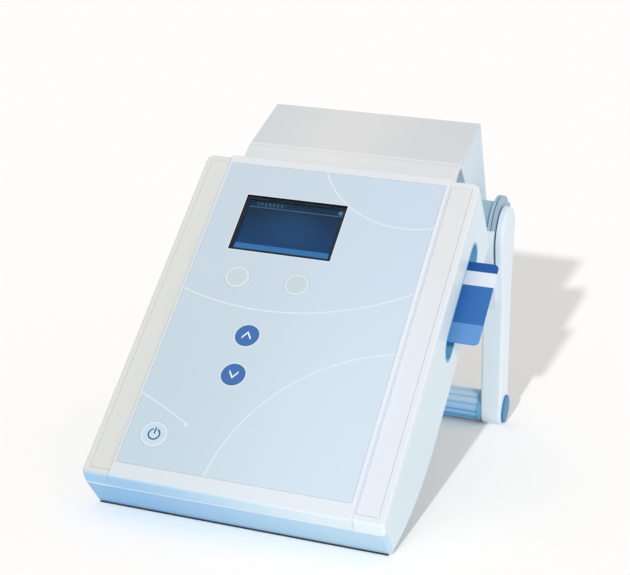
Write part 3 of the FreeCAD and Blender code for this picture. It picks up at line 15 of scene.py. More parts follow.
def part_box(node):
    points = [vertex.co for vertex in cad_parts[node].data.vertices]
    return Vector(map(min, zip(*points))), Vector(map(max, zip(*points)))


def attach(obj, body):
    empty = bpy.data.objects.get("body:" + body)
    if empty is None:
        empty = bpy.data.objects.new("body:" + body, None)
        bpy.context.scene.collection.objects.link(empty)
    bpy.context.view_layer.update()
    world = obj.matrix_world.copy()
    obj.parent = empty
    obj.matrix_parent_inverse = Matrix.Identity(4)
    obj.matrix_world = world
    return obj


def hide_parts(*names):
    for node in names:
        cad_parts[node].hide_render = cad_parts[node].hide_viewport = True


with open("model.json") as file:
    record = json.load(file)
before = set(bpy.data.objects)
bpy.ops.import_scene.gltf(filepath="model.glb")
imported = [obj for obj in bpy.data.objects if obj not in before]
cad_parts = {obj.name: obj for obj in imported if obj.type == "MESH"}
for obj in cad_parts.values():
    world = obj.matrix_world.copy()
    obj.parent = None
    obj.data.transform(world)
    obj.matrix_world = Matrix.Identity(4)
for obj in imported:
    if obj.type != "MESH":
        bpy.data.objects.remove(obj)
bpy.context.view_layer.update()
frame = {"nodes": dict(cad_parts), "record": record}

NODES = frame["nodes"]

# %% [markdown]
# ## The panel's own frame
# The keypad panel leans back by 43.45 degrees. Its print and its keys are easiest to place in
# millimetres across the panel, up its slope and out of it, so every finish that is tied to the
# panel works in that leaning frame.

# %% Panel frame in numbers
MM = 0.001
TILT = math.radians(43.45)
PANEL_Y = -0.030574
PANEL_Z = 0.025600
PANEL_CORNER = (66, 213.6)
ACROSS = Vector((1, 0, 0))
UP_SLOPE = Vector((0, math.cos(TILT), math.sin(TILT)))
OUTWARD = Vector((0, -math.sin(TILT), math.cos(TILT)))


def on_panel(across, up, out=0.0):
    """A point given in millimetres on the panel, in metres in the room."""
    foot = Vector((0, PANEL_Y, PANEL_Z))
    return foot + (ACROSS * across + UP_SLOPE * up + OUTWARD * out) * MM


print("panel's far corner:", [round(v, 4) for v in on_panel(*PANEL_CORNER)])

# %% [markdown]
# ## A small language for node trees
# A finish is a tree of nodes, and a tree written link by link is hard to read. Two small classes
# let the lesson write sums instead: a Wire is one value that flows between nodes, and a Graph
# makes the nodes. A sum of wires adds the Math nodes that it needs.

# %% Wires and graphs


class Wire:
    """One value that flows between nodes."""

    def __init__(self, graph, socket):
        self.graph = graph
        self.socket = socket

    def __add__(self, other):
        return self.graph.maths("ADD", self, other)

    def __sub__(self, other):
        return self.graph.maths("SUBTRACT", self, other)

    def __rsub__(self, other):
        return self.graph.maths("SUBTRACT", other, self)

    def __mul__(self, other):
        return self.graph.maths("MULTIPLY", self, other)

    def __truediv__(self, other):
        return self.graph.maths("DIVIDE", self, other)

    def __neg__(self):
        return self.graph.maths("MULTIPLY", self, -1.0)

    def __abs__(self):
        return self.graph.maths("ABSOLUTE", self)

    __radd__ = __add__
    __rmul__ = __mul__

    def over(self, other):
        """The larger of two values."""
        return self.graph.maths("MAXIMUM", self, other)


class Graph:
    """A node tree that is filled from Python."""

    def __init__(self, tree):
        self.tree = tree
        tree.nodes.clear()

    def node(self, kind, settings=None, sockets=None, out=0):
        """A node of a kind, with its settings first and then its sockets' values or links.

        A list of wires is for a socket that takes several.
        """
        made = self.tree.nodes.new(kind)
        for name, value in (settings or {}).items():
            setattr(made, name, value)
        for key, value in (sockets or {}).items():
            wires = value if isinstance(value, list) else [value]
            if isinstance(wires[0], Wire):
                for wire in wires:
                    self.tree.links.new(wire.socket, made.inputs[key])
            else:
                made.inputs[key].default_value = value
        return Wire(self, made.outputs[out]) if made.outputs else made

    def maths(self, operation, *values):
        return self.node("ShaderNodeMath", {"operation": operation}, dict(enumerate(values)))

    def parts(self, vector):
        """The x, y and z of a vector."""
        split = self.node("ShaderNodeSeparateXYZ", sockets={0: vector})
        return [Wire(self, socket) for socket in split.socket.node.outputs]

    def shown(self):
        """1 for what the camera sees, itself or in a reflection, and 0 for light on the object."""
        rays = self.node("ShaderNodeLightPath").socket.node.outputs
        seen = Wire(self, rays["Is Camera Ray"])
        for name in ("Is Glossy Ray", "Is Transmission Ray"):
            seen = seen.over(Wire(self, rays[name]))
        return seen


own = vars(Wire).items()
print("operators:", sum(name.startswith("__") and callable(value) for name, value in own))

# %% [markdown]
# ## What every finish shares
# Colours are written as the eye sees them, 0 to 255, and turned into light. A Finish holds one
# material: it knows the place on the object and on the panel, draws print from distances, mixes
# colours, and gives a surface its grain through a Bump node.

# %% Colours and the Finish class


def tint(red, green, blue):
    """A colour as seen on a screen, as the amounts of light that a shader takes."""
    seen = [value / 255 for value in (red, green, blue)]
    return tuple(v / 12.92 if v < 0.04045 else ((v + 0.055) / 1.055) ** 2.4 for v in seen) + (1.0,)


class Finish(Graph):
    """One material, built from its place on the object."""

    def __init__(self, name):
        self.material = bpy.data.materials.new(name)
        self.material.use_nodes = True
        super().__init__(self.material.node_tree)
        coordinates = self.node("ShaderNodeTexCoord")
        self.place = Wire(self, coordinates.socket.node.outputs["Object"])

    def panel(self):
        """Millimetres across the panel, up its slope and out of it."""
        x, y, z = self.parts(self.place)
        y = (y - PANEL_Y) * (1 / MM)
        z = (z - PANEL_Z) * (1 / MM)
        up = y * math.cos(TILT) + z * math.sin(TILT)
        out = z * math.cos(TILT) - y * math.sin(TILT)
        return x * (1 / MM), up, out

    def noise(self, scale, detail=2.0):
        sockets = {"Vector": self.place, "Scale": scale, "Detail": detail}
        return self.node("ShaderNodeTexNoise", sockets=sockets)

    def step(self, value, low, high):
        """0 below low, 1 above high, and smooth between them."""
        settings = {"interpolation_type": "SMOOTHSTEP"}
        sockets = {0: value, 1: low, 2: high, 3: 0.0, 4: 1.0}
        return self.node("ShaderNodeMapRange", settings, sockets)

    def below(self, value, low, high):
        """1 below low, 0 above high, and smooth between them."""
        return 1 - self.step(value, low, high)

    def mix(self, share, one, other, blend="MIX"):
        """A colour between two, by share."""
        settings = {"data_type": "RGBA", "blend_type": blend}
        return self.node("ShaderNodeMix", settings, {0: share, 6: one, 7: other}, out=2)

    def fade(self, value, low, high, one, other):
        """One colour below low, the other above high, and a smooth change between them."""
        return self.mix(self.step(value, low, high), one, other)

    def bump(self, height, distance):
        return self.node("ShaderNodeBump", sockets={"Distance": distance, "Height": height})

    def surface(self, colour, roughness, normal=None, **constants):
        """The shader: constants go straight on its sockets."""
        sockets = {"Base Color": colour, "Roughness": roughness}
        if normal:
            sockets["Normal"] = normal
        sockets.update({name.replace("_", " "): value for name, value in constants.items()})
        shader = self.node("ShaderNodeBsdfPrincipled", sockets=sockets)
        self.node("ShaderNodeOutputMaterial", sockets={"Surface": shader})
        return self.material

    def ring(self, across, up, centre, radius):
        """Signed millimetres from a circle's line: less than 0 inside."""
        x = across - centre[0]
        y = up - centre[1]
        return self.maths("SQRT", x * x + y * y) - radius

    def line(self, distance, half, soft=0.12):
        """1 on a printed line, 0 beside it."""
        return self.below(abs(distance), half - soft, half + soft)


print("mid grey as light:", round(tint(128, 128, 128)[0], 3))

# %% [markdown]
# ## Camera
# The camera stands where the picture was taken from: in front, to the right and above, with a
# long lens, so that the panel's sides run almost parallel. Its place and its turn come from the
# panel's corners in the picture.

# %% Camera
CAMERA_PLACE = Vector((0.266604, -0.720048, 0.310883))
CAMERA_RIGHT = Vector((0.94420, 0.32427, 0.05774))
CAMERA_UP = Vector((-0.12834, 0.20077, 0.97119))
PICTURE_WIDTH = 630
FOCAL_PIXELS = 1562.173
camera = bpy.data.cameras.new("camera")
camera.sensor_fit = "HORIZONTAL"
camera.sensor_width = 36.0
camera.lens = camera.sensor_width * FOCAL_PIXELS / PICTURE_WIDTH
camera.clip_start = 0.01
camera_stand = bpy.data.objects.new("camera", camera)
turn = Matrix((CAMERA_RIGHT, CAMERA_UP, CAMERA_RIGHT.cross(CAMERA_UP))).transposed().to_4x4()
camera_stand.matrix_world = Matrix.Translation(CAMERA_PLACE) @ turn
bpy.context.scene.collection.objects.link(camera_stand)
bpy.context.scene.camera = camera_stand
print("lens:", round(camera.lens, 2), "mm")

# %% [markdown]
# ## Studio light
# The picture has a white ground and almost even light on the object, yet one low, crisp shadow
# that runs far back. No single lamp does both. So a pale sky and a weak sun from the right front
# light the object, and a second, low sun reaches only the floor and throws the shadow. The light
# on the object adds up to about plain level, so a colour comes out as it is written. The sky
# itself is white only to the camera and in reflections.

# %% World
SKY_LEVEL = 0.67
SKY_COLOUR = (1.0, 1.0, 1.0, 1.0)

world = bpy.data.worlds.new("studio")
world.use_nodes = True
sky = Graph(world.node_tree)
strength = SKY_LEVEL + (1 - SKY_LEVEL) * sky.shown()
backdrop = sky.node("ShaderNodeBackground", sockets={"Color": SKY_COLOUR, "Strength": strength})
sky.node("ShaderNodeOutputWorld", sockets={"Surface": backdrop})
bpy.context.scene.world = world
bpy.context.scene.view_settings.view_transform = "Standard"
print("sky:", SKY_LEVEL)

# %% [markdown]
# ## Floor
# A plain sheet, far larger than the view. The eye sees it white, and its shade stays. A little of
# its whiteness is its own glow, for the camera and for reflections only, which keeps the shade
# close to the object from going dark.

# %% Floor
FLOOR_HALF = 12.0
PAPER_IN_LIGHT = (0.86, 0.86, 0.86, 1.0)
PAPER_AS_SEEN = (0.872, 0.856, 0.844, 1.0)
NO_GLOW = (0.0, 0.0, 0.0, 1.0)
GLOW_AS_SEEN = (0.12, 0.1164, 0.1128, 1.0)

floor_mesh = bpy.data.meshes.new("floor")
corners = [(x * FLOOR_HALF, y * FLOOR_HALF, 0) for x, y in ((-1, -1), (1, -1), (1, 1), (-1, 1))]
floor_mesh.from_pydata(corners, [], [(0, 1, 2, 3)])
floor = bpy.data.objects.new("floor", floor_mesh)
bpy.context.scene.collection.objects.link(floor)

paper = Finish("floor_paper")
shown = paper.shown()
floor_mesh.materials.append(paper.surface(
    paper.mix(shown, PAPER_IN_LIGHT, PAPER_AS_SEEN), 0.95, Specular_IOR_Level=0.0,
    Emission_Color=paper.mix(shown, NO_GLOW, GLOW_AS_SEEN), Emission_Strength=1.0,
))
print("floor:", 2 * FLOOR_HALF, "m")

# %% [markdown]
# ## Two suns
# A sun's receivers are named in a collection: the low sun includes the floor and nothing else,
# the other one excludes it. The front sun is broad, so that it shades softly. The low one is
# small in the sky, because its shadow has a crisp edge.

# %% Suns


def sun(name, comes_from, level, spread, floor_state):
    """A sun that lights only the floor, or all but the floor."""
    lamp = bpy.data.lights.new(name, "SUN")
    lamp.energy = level
    lamp.angle = math.radians(spread)
    stand = bpy.data.objects.new(name, lamp)
    stand.rotation_mode = "QUATERNION"
    stand.rotation_quaternion = Vector(comes_from).to_track_quat("Z", "Y")
    bpy.context.scene.collection.objects.link(stand)
    lit = bpy.data.collections.new(f"{name}_lights")
    lit.objects.link(floor)
    lit.collection_objects[0].light_linking.link_state = floor_state
    stand.light_linking.receiver_collection = lit
    return stand


SUNS = [
    sun("shadow_sun", (0.03, -1.0, 0.335), level=3.4, spread=1.5, floor_state="INCLUDE"),
    sun("front_sun", (0.60, -1.00, 0.62), level=1.15, spread=12.0, floor_state="EXCLUDE"),
]
print("suns:", [stand.name for stand in SUNS])

# %% [markdown]
# ## Moulded plastic
# The case is satin ABS from a spark-eroded mould: one even colour with a grain of about half a
# millimetre. A flat colour would look like paper, so the finish drifts by two parts in a hundred
# and carries a faint, fine bump.

# %% Moulded plastic
MOULD_GRAIN = 0.00001
PLAIN_SHINE = 0.3


def drift(finish, colour, amount=0.02, scale=9.0):
    """A colour that wanders a little over the piece."""
    patch = finish.step(finish.noise(scale, 3.0), 0.3, 0.7)
    shade = (1 - amount, 1 - amount, 1 - amount, 1.0)
    return finish.mix(patch, finish.mix(1.0, colour, shade, "MULTIPLY"), colour)


def moulded(finish, colour, roughness, shine=PLAIN_SHINE):
    """Satin plastic: drift in the colour, fine grain in the gloss and in the bump."""
    gloss = roughness + 0.08 * (finish.noise(60.0) - 0.5)
    grain = finish.bump(finish.noise(1500.0), MOULD_GRAIN)
    return finish.surface(drift(finish, colour), gloss, grain, Specular_IOR_Level=shine)


def plain_plastic(name, colour, roughness, shine=PLAIN_SHINE):
    return moulded(Finish(name), colour, roughness, shine)


print("helpers:", drift.__name__, moulded.__name__, plain_plastic.__name__)

# %% [markdown]
# ## Upper shell and tray
# The upper shell is white on its rails and turns a little bluer down its walls, which is painted
# shade. On the rails the left side is painted a touch darker and warmer than the right one, which
# is painted lighter and bluer. The edge that faces the viewer is painted shade from blue on the
# left to white on the right, with a painted highlight along its lip.

# %% Shell and tray finishes
RAIL_ENDS = (-82, 82)
EDGE_ENDS = (-80, 75)
RAIL_UP = (60, 215)
# painted shade on the edges that face the viewer, and a painted highlight along their lip
FRONT_SHADE_LEFT = tint(166, 211, 242)
FRONT_LIT_RIGHT = tint(238, 250, 255)
LIP_HIGHLIGHT = tint(240, 248, 254)


def shaded_front_edge(finish, across, out, ends, lip_out, lip_half):
    """Painted shade across an edge that faces the viewer, and a painted highlight on its lip."""
    front = finish.fade(across, *ends, FRONT_SHADE_LEFT, FRONT_LIT_RIGHT)
    return finish.mix(finish.line(out - lip_out, lip_half, 0.2) * 0.8, front, LIP_HIGHLIGHT)


def case_white():
    finish = Finish("case_white")
    across, up, out = finish.panel()
    # painted shade on the rails: darker and warmer on the left, lighter and bluer on the right
    right = finish.fade(up, *RAIL_UP, tint(232, 239, 247), tint(230, 233, 235))
    rail_shaded = finish.fade(across, *RAIL_ENDS, tint(224, 226, 223), right)
    # painted shade on the walls: bluer and darker than the rails, most on the left
    wall_shade = finish.fade(across, *RAIL_ENDS, tint(196, 214, 226), tint(222, 238, 246))
    colour = finish.fade(-out, 3.4, 12, rail_shaded, wall_shade)
    # painted shade and a painted highlight on the edge that faces the viewer
    front = shaded_front_edge(finish, across, out, EDGE_ENDS, lip_out=-10.5, lip_half=0.45)
    return moulded(finish, finish.fade(-up, -2.2, 0.4, colour, front), 0.40)


def tray_blue():
    finish = Finish("tray_blue")
    across, up, _ = finish.panel()
    # painted shade on the front: darker blue on the left, lighter on the right
    front = finish.fade(across, *EDGE_ENDS, tint(150, 200, 238), tint(196, 228, 248))
    side = finish.fade(up, 0, 90, tint(208, 234, 246), tint(220, 237, 246))
    return moulded(finish, finish.fade(up, 0.5, 6, front, side), 0.38)


CASE = case_white()
TRAY = tray_blue()
print("shell finishes:", CASE.name, TRAY.name)

# %% [markdown]
# ## Raised plate and rear block
# The plate under the foil has the same painted front edge as the shell. The walls of its opening
# for the display carry painted shade, which ends in a sharp line at the plate's face.
# The deep block behind is a pale blue that darkens a little downwards.

# %% Plate and block finishes
PLATE_ENDS = (-66, 66)
WINDOW_CENTRE = (-17.5, 167.2)
WINDOW_HALF = (30.0, 19.2)


def box_distance(across, up, centre, half):
    """Signed millimetres from a rectangle's outline, as if measured along the axes."""
    return (abs(across - centre[0]) - half[0]).over(abs(up - centre[1]) - half[1])


def plate_white():
    finish = Finish("plate_white")
    across, up, out = finish.panel()
    # painted shade: darker on the left, lighter on the right, as on the rails
    near_shaded = finish.fade(across, *PLATE_ENDS, tint(222, 229, 235), tint(232, 239, 247))
    colour = finish.fade(up, 150, 213, near_shaded, tint(228, 232, 236))
    # painted shade and a painted highlight on the front edge, as on the shell
    front = shaded_front_edge(finish, across, out, PLATE_ENDS, lip_out=-10.4, lip_half=0.5)
    colour = finish.fade(-up, 0.2, 1.3, colour, front)
    # painted shade on the walls of the display's opening
    opening = finish.step(-box_distance(across, up, WINDOW_CENTRE, WINDOW_HALF), -1.0, -0.6)
    wall_shade = opening * finish.step(-out, 0.3, 0.5)
    return moulded(finish, finish.mix(wall_shade, colour, tint(14, 30, 44)), 0.36)


def block_blue():
    finish = Finish("block_blue")
    _, _, out = finish.panel()
    colour = finish.fade(-out, 30, 110, tint(216, 230, 241), tint(206, 225, 238))
    return moulded(finish, colour, 0.44)


PLATE = plate_white()
BLOCK = block_blue()
print("plate and block finishes:", PLATE.name, BLOCK.name)

# %% [markdown]
# ## Hood and trim strips
# The hood is a bent cover, painted a little brighter in the middle, with painted highlights along
# its bend and its lip.
# The strips on the rails are a shade warmer than the shell that they lie in.

# %% Hood and strip finishes
HOOD_MIDDLE = -10
HOOD_BEND = 234.6
STRIP_ENDS = (-60, 60)


def hood_white():
    finish = Finish("hood_white")
    across, up, _ = finish.panel()
    middle, sides = tint(224, 225, 224), tint(215, 219, 222)
    # painted light: brighter in the middle than at the sides
    colour = finish.fade(abs(across - HOOD_MIDDLE), 5, 60, middle, sides)
    # painted highlights along the bend and along the lip
    bend_highlight = finish.line(up - HOOD_BEND, 1.0, 0.7) * 0.55
    lip = finish.below(up, 232.0, 234.0) * 0.35
    return moulded(finish, finish.mix(bend_highlight.over(lip), colour, tint(243, 244, 243)), 0.46)


def strip_white():
    finish = Finish("strip_white")
    across, up, _ = finish.panel()
    # the same painted shade as on the rails: darker and warmer on the left, lighter and bluer on
    # the right
    right = finish.fade(up, *RAIL_UP, tint(232, 238, 246), tint(228, 229, 229))
    return moulded(finish, finish.fade(across, *STRIP_ENDS, tint(224, 225, 221), right), 0.34)


HOOD = hood_white()
STRIP = strip_white()
print("hood and strip finishes:", HOOD.name, STRIP.name)

# %% [markdown]
# ## The printed foil
# The foil is a thin polyester sheet, printed from behind in pale blues, with four thin white arcs
# that sweep over it and a dot where one of them ends. A fine painted highlight rings each arrow
# key, and a painted highlight runs along the display's edge. The arcs are parts of large circles,
# so the distance to a circle's line draws each one, and the same distance says which side gets
# which tint of the print.

# %% Foil
ARCS = {
    "upper": ((-16.6, 261.7), 151.0, tint(196, 214, 232)),
    "corner": ((47.1, 234.7), 59.1, tint(196, 214, 232)),
    "lower": ((85.2, -3.2), 101.0, tint(222, 232, 242)),
    "left": ((-151.1, -177.0), 242.7, None),
}
ARC_END = (-34.0, 35.1)
KEYS = {
    "key_power": (-49.2, 26.8, 7.4),
    "key_down": (-18.6, 68.9, 6.6),
    "key_up": (-18.6, 93.7, 6.6),
    "key_display_left": (-36.0, 129.9, 7.0),
    "key_display_right": (-1.2, 129.9, 7.0),
}
FOIL_UP = (0, 210)
FOIL_ENDS = (-60, 60)
PRINT_GRAIN = 0.000004


def keypad_foil():
    finish = Finish("keypad_foil")
    across, up, _ = finish.panel()
    left = finish.fade(up, *FOIL_UP, tint(198, 216, 226), tint(202, 215, 224))
    right = finish.fade(up, *FOIL_UP, tint(213, 229, 243), tint(208, 223, 236))
    colour = finish.fade(across, *FOIL_ENDS, left, right)
    lines = finish.below(finish.ring(across, up, ARC_END, 0.0), 0.9, 1.2)
    for centre, radius, shade in ARCS.values():
        distance = finish.ring(across, up, centre, radius)
        arc = finish.line(distance, 0.42, 0.2)
        if shade:
            colour = finish.mix(finish.below(distance, -0.3, 0.3) * 0.16, colour, shade)
        else:
            arc = arc * finish.below(across, ARC_END[0] - 0.2, ARC_END[0] + 0.2)
        lines = lines.over(arc)
    for name in ("key_up", "key_down"):
        x, y, radius = KEYS[name]
        # painted highlight: a pale ring round each arrow key
        circle = finish.line(finish.ring(across, up, (x, y), radius + 0.4), 0.4, 0.25)
        lines = lines.over(circle * 0.8)
    colour = finish.mix(lines * 0.62, colour, tint(236, 243, 249))
    # painted highlight along the edge of the display's opening
    window_edge_highlight = finish.line(box_distance(across, up, WINDOW_CENTRE, WINDOW_HALF), 0.55)
    colour = finish.mix(window_edge_highlight, colour, tint(238, 244, 250))
    gloss = 0.34 + 0.06 * finish.noise(40.0)
    grain = finish.bump(finish.noise(2600.0, 1.0), PRINT_GRAIN)
    return finish.surface(colour, gloss, grain, Specular_IOR_Level=0.25)


FOIL = keypad_foil()
print("arcs:", list(ARCS), "openings:", len(KEYS) + 1)

# %% [markdown]
# ## Keys
# Five round keys stand a quarter of a millimetre proud of the foil. Two are blue with white
# arrows. The other three are pale with a lighter rim: two are bare, and one carries the usual
# on-and-off sign. The signs are print, so they are drawn from distances too.

# %% Key finishes
STROKE = 0.42
ARROW_SLOPE = 1.42
ARROW_TOP = 1.9
ARROW_HALF = (2.45, 2.7)
LOOP_RADIUS = 3.05


def arrow(finish, across, up, centre, sign):
    """1 on an arrow of two strokes that points up the slope for sign 1."""
    x = abs(across - centre[0])
    y = (up - centre[1]) * sign
    stroke = (y + x * ARROW_SLOPE - ARROW_TOP) * (1 / math.hypot(1, ARROW_SLOPE))
    return finish.line(stroke, STROKE) * finish.below(x, *ARROW_HALF)


def arrow_key(name, sign):
    x, y, radius = KEYS[name]
    finish = Finish(f"{name}_print")
    across, up, _ = finish.panel()
    edge = finish.ring(across, up, (x, y), radius)
    colour = finish.fade(edge, -0.7, 0, tint(68, 115, 178), tint(58, 102, 168))
    colour = finish.mix(arrow(finish, across, up, (x, y), sign), colour, tint(240, 245, 252))
    return moulded(finish, colour, 0.36, shine=0.15)


def power_key(name):
    x, y, radius = KEYS[name]
    finish = Finish(f"{name}_print")
    across, up, _ = finish.panel()
    edge = finish.ring(across, up, (x, y), radius)
    body = finish.fade(edge, -1.3, -0.9, tint(204, 223, 236), tint(222, 234, 243))
    loop = finish.line(finish.ring(across, up, (x, y), LOOP_RADIUS), STROKE)
    gap = finish.below(abs(across - x), 1.0, 1.25) * finish.step(up - y, 0.2, 0.6)
    bar = finish.line(across - x, STROKE) * finish.line(up - (y + 2.1), 1.9)
    sign = (loop * (1 - gap)).over(bar)
    return moulded(finish, finish.mix(sign, body, tint(38, 92, 150)), 0.36, shine=0.2)


def pale_key(name):
    x, y, radius = KEYS[name]
    finish = Finish(f"{name}_print")
    across, up, _ = finish.panel()
    edge = finish.ring(across, up, (x, y), radius)
    colour = finish.fade(edge, -1.5, -1.0, tint(203, 217, 222), tint(220, 230, 237))
    return moulded(finish, colour, 0.36, shine=0.2)


KEY_FINISH = {
    "key_power": power_key("key_power"),
    "key_up": arrow_key("key_up", 1),
    "key_down": arrow_key("key_down", -1),
    "key_display_left": pale_key("key_display_left"),
    "key_display_right": pale_key("key_display_right"),
}
print("keys:", sorted(KEY_FINISH))

# %% [markdown]
# ## Display
# A clear pane lies flush in the foil. The picture shines from the display's glass, a millimetre
# behind it, so the pane stays clear: dark blue, lighter in the middle, with a status row of plain
# marks, a thin rule and a lighter bar below.

# %% Display and pane
LIVE_CENTRE = (WINDOW_CENTRE[0], WINDOW_CENTRE[1] + 0.9)
LIVE_HALF = (28.2, 17.6)
GLOW_CENTRE = (-16, 168)
GLOW_SQUASH = 1.6
RULE_UP = 179.9
STATUS_UP = 182.2
DOT_ACROSS = 9.6
DOT_SQUASH = 0.7
MARKS_ACROSS = -33.0


def display_picture():
    finish = Finish("display_picture")
    across, up, _ = finish.panel()
    picture = finish.fade(up, 152, 184, tint(24, 62, 104), tint(18, 44, 66))
    middle = (GLOW_CENTRE[0], GLOW_CENTRE[1] * GLOW_SQUASH)
    glow = finish.below(finish.ring(across, up * GLOW_SQUASH, middle, 0.0), 4, 26)
    picture = finish.mix(glow * 0.4, picture, tint(38, 82, 130))
    picture = finish.mix(finish.below(up, 154.0, 154.4), picture, tint(52, 114, 170))
    rule = finish.line(up - RULE_UP, 0.28, 0.1)
    picture = finish.mix(rule * 0.55, picture, tint(92, 136, 176))
    dot_centre = (DOT_ACROSS * DOT_SQUASH, STATUS_UP)
    dot = finish.below(finish.ring(across * DOT_SQUASH, up, dot_centre, 0.0), 1.2, 1.6)
    row = finish.line(across - MARKS_ACROSS, 7.6, 0.1) * finish.line(up - STATUS_UP, 1.0, 0.15)
    marks = row * finish.step(finish.maths("SINE", across * 2.6), -0.2, 0.2)
    picture = finish.mix(dot.over(marks * 0.5) * 0.7, picture, tint(96, 138, 178))
    edge = box_distance(across, up, LIVE_CENTRE, LIVE_HALF)
    picture = finish.fade(edge, -0.1, 0.1, picture, tint(12, 30, 44))
    glass = tint(6, 10, 16)
    return finish.surface(
        glass, 0.5, Emission_Color=picture, Emission_Strength=1.0, Specular_IOR_Level=0.1,
    )


def clear_pane():
    finish = Finish("clear_pane")
    gloss = 0.015 + 0.02 * finish.noise(30.0, 3.0)
    return finish.surface(
        (0.97, 0.985, 1.0, 1.0), gloss, IOR=1.06, Transmission_Weight=1.0, Specular_IOR_Level=0.3,
    )


PICTURE = display_picture()
PANE = clear_pane()
print("display:", 2 * WINDOW_HALF[0], "x", 2 * WINDOW_HALF[1], "mm")

# %% [markdown]
# ## Chip card and its slot
# The card is printed in four bands. Up the slope they are a lighter blue, blue, white and a deep
# blue, and a list gives the edge where each begins. The slot's insert is a blue, half-matt
# moulding.

# %% Card and slot finishes
CARD_BANDS = [
    (0.0, tint(104, 157, 214)),
    (140.0, tint(58, 115, 184)),
    (165.4, tint(234, 240, 249)),
    (174.9, tint(38, 92, 166)),
]


def card_print():
    finish = Finish("card_print")
    _, up, _ = finish.panel()
    colour = CARD_BANDS[0][1]
    for edge, above in CARD_BANDS[1:]:
        colour = finish.fade(up, edge - 0.15, edge + 0.15, colour, above)
    gloss = 0.30 + 0.05 * finish.noise(80.0)
    grain = finish.bump(finish.noise(900.0), PRINT_GRAIN)
    return finish.surface(colour, gloss, grain, Specular_IOR_Level=0.15)


CARD = card_print()
INSERT = plain_plastic("slot_insert", tint(112, 176, 208), 0.42, shine=0.15)
print("card bands:", len(CARD_BANDS))

# %% [markdown]
# ## Stand
# The arms are the case's white, a little cooler. The hubs and the turning discs are grey-blue,
# the caps on the arms a stronger blue, and the grip is fluted rubber over a steel tube. The
# rubber carries painted shade, deep blue in its flutes, and a painted highlight on its crests, so
# its colour follows the distance from the grip's middle line. It is painted lighter and greyer on
# its upper side as well.

# %% Stand finishes
TOOL_MARKS = 26000


def arm_white():
    finish = Finish("arm_white")
    _, _, height = finish.parts(finish.place)
    colour = finish.fade(height, 0.02, 0.14, tint(234, 246, 252), tint(228, 240, 248))
    return moulded(finish, colour, 0.38)


def grip_rubber():
    finish = Finish("grip_rubber")
    _, y, z = finish.parts(finish.place)
    low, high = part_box("grip_sleeve")
    y = y - (low[1] + high[1]) / 2
    z = z - (low[2] + high[2]) / 2
    crest = (high[2] - low[2]) / 2
    depth = crest - finish.maths("SQRT", y * y + z * z)
    # painted light: lighter and greyer on the upper side
    light = finish.fade(z, -0.008, 0.010, tint(132, 200, 248), tint(192, 216, 232))
    # painted shade deep blue in the flutes, painted highlight on the crests
    colour = finish.fade(depth, 0.0003, 0.0010, light, tint(50, 122, 182))
    fine = finish.noise(2200.0, 3.0)
    grain = finish.bump(fine, 0.00002)
    return finish.surface(drift(finish, colour, 0.04, 40.0), 0.55 + 0.1 * fine, grain)


def metal(name, colour, roughness):
    """Turned metal: rings of fine tool marks, four to a millimetre, about the hinge's line."""
    finish = Finish(name)
    x, _, _ = finish.parts(finish.place)
    marks = finish.maths("SINE", x * TOOL_MARKS + 3 * finish.noise(90.0))
    gloss = roughness + 0.05 * finish.noise(200.0)
    return finish.surface(colour, gloss, finish.bump(marks, PRINT_GRAIN), Metallic=1.0)


ARM = arm_white()
GRIP = grip_rubber()
HUB = plain_plastic("hub_grey", tint(162, 190, 205), 0.46)
DISC = plain_plastic("disc_grey", tint(156, 184, 201), 0.40)
CAP = plain_plastic("cap_blue", tint(70, 134, 182), 0.38, shine=0.1)
COLLAR = plain_plastic("collar_blue", tint(120, 180, 216), 0.38, shine=0.2)
STEEL = metal("turned_steel", tint(200, 202, 204), 0.28)
print("stand finishes:", len((ARM, GRIP, HUB, DISC, CAP, COLLAR, STEEL)))

# %% [markdown]
# ## Rubber, boards and the rest of the inside
# Little of this is seen: the rubber foot, the socket faces and what shows through the gaps. The
# boards are green lacquer with fine tracks, and the soft pieces are matt.

# %% Inner finishes


def circuit_board():
    finish = Finish("circuit_board")
    _, up, _ = finish.panel()
    wave = finish.maths("SINE", up * 3.1 + 2.0 * finish.noise(70.0))
    tracks = finish.step(wave, 0.35, 0.5)
    colour = finish.mix(tracks * 0.5, tint(24, 92, 58), tint(46, 128, 84))
    return finish.surface(colour, 0.35, finish.bump(tracks, 0.00002))


def soft(name, colour, roughness, scale):
    """Matt foam or rubber with fine pores."""
    finish = Finish(name)
    pores = finish.noise(scale, 3.0)
    grain = finish.bump(pores, 0.00004)
    return finish.surface(drift(finish, colour, 0.06, 60.0), roughness + 0.08 * pores, grain)


BOARD = circuit_board()
FOAM = soft("foam", tint(52, 54, 58), 0.85, 1400.0)
GASKET = soft("gasket_foam", tint(30, 66, 90), 0.85, 1400.0)
FOOT = soft("foot_rubber", tint(150, 162, 172), 0.70, 1800.0)
# dark rubber of the foot lip, which also stands in for the contact shadow under the front edge
DARK_RUBBER_SHADOW = soft("lip_rubber", tint(44, 54, 64), 0.75, 1800.0)
DARK = plain_plastic("dark_plastic", tint(58, 62, 68), 0.50)
CELL = plain_plastic("battery_wrap", tint(96, 104, 112), 0.45)
SOCKET = plain_plastic("socket_grey", tint(120, 134, 146), 0.42)
INSIDE = (BOARD, FOAM, GASKET, FOOT, DARK_RUBBER_SHADOW, DARK, CELL, SOCKET)
print("inner finishes:", [material.name for material in INSIDE])

# %% [markdown]
# ## Put the finishes on
# Each solid has one material slot, which takes its finish. A table of names keeps the choice in
# one place, and the cell stops if a solid has been forgotten.

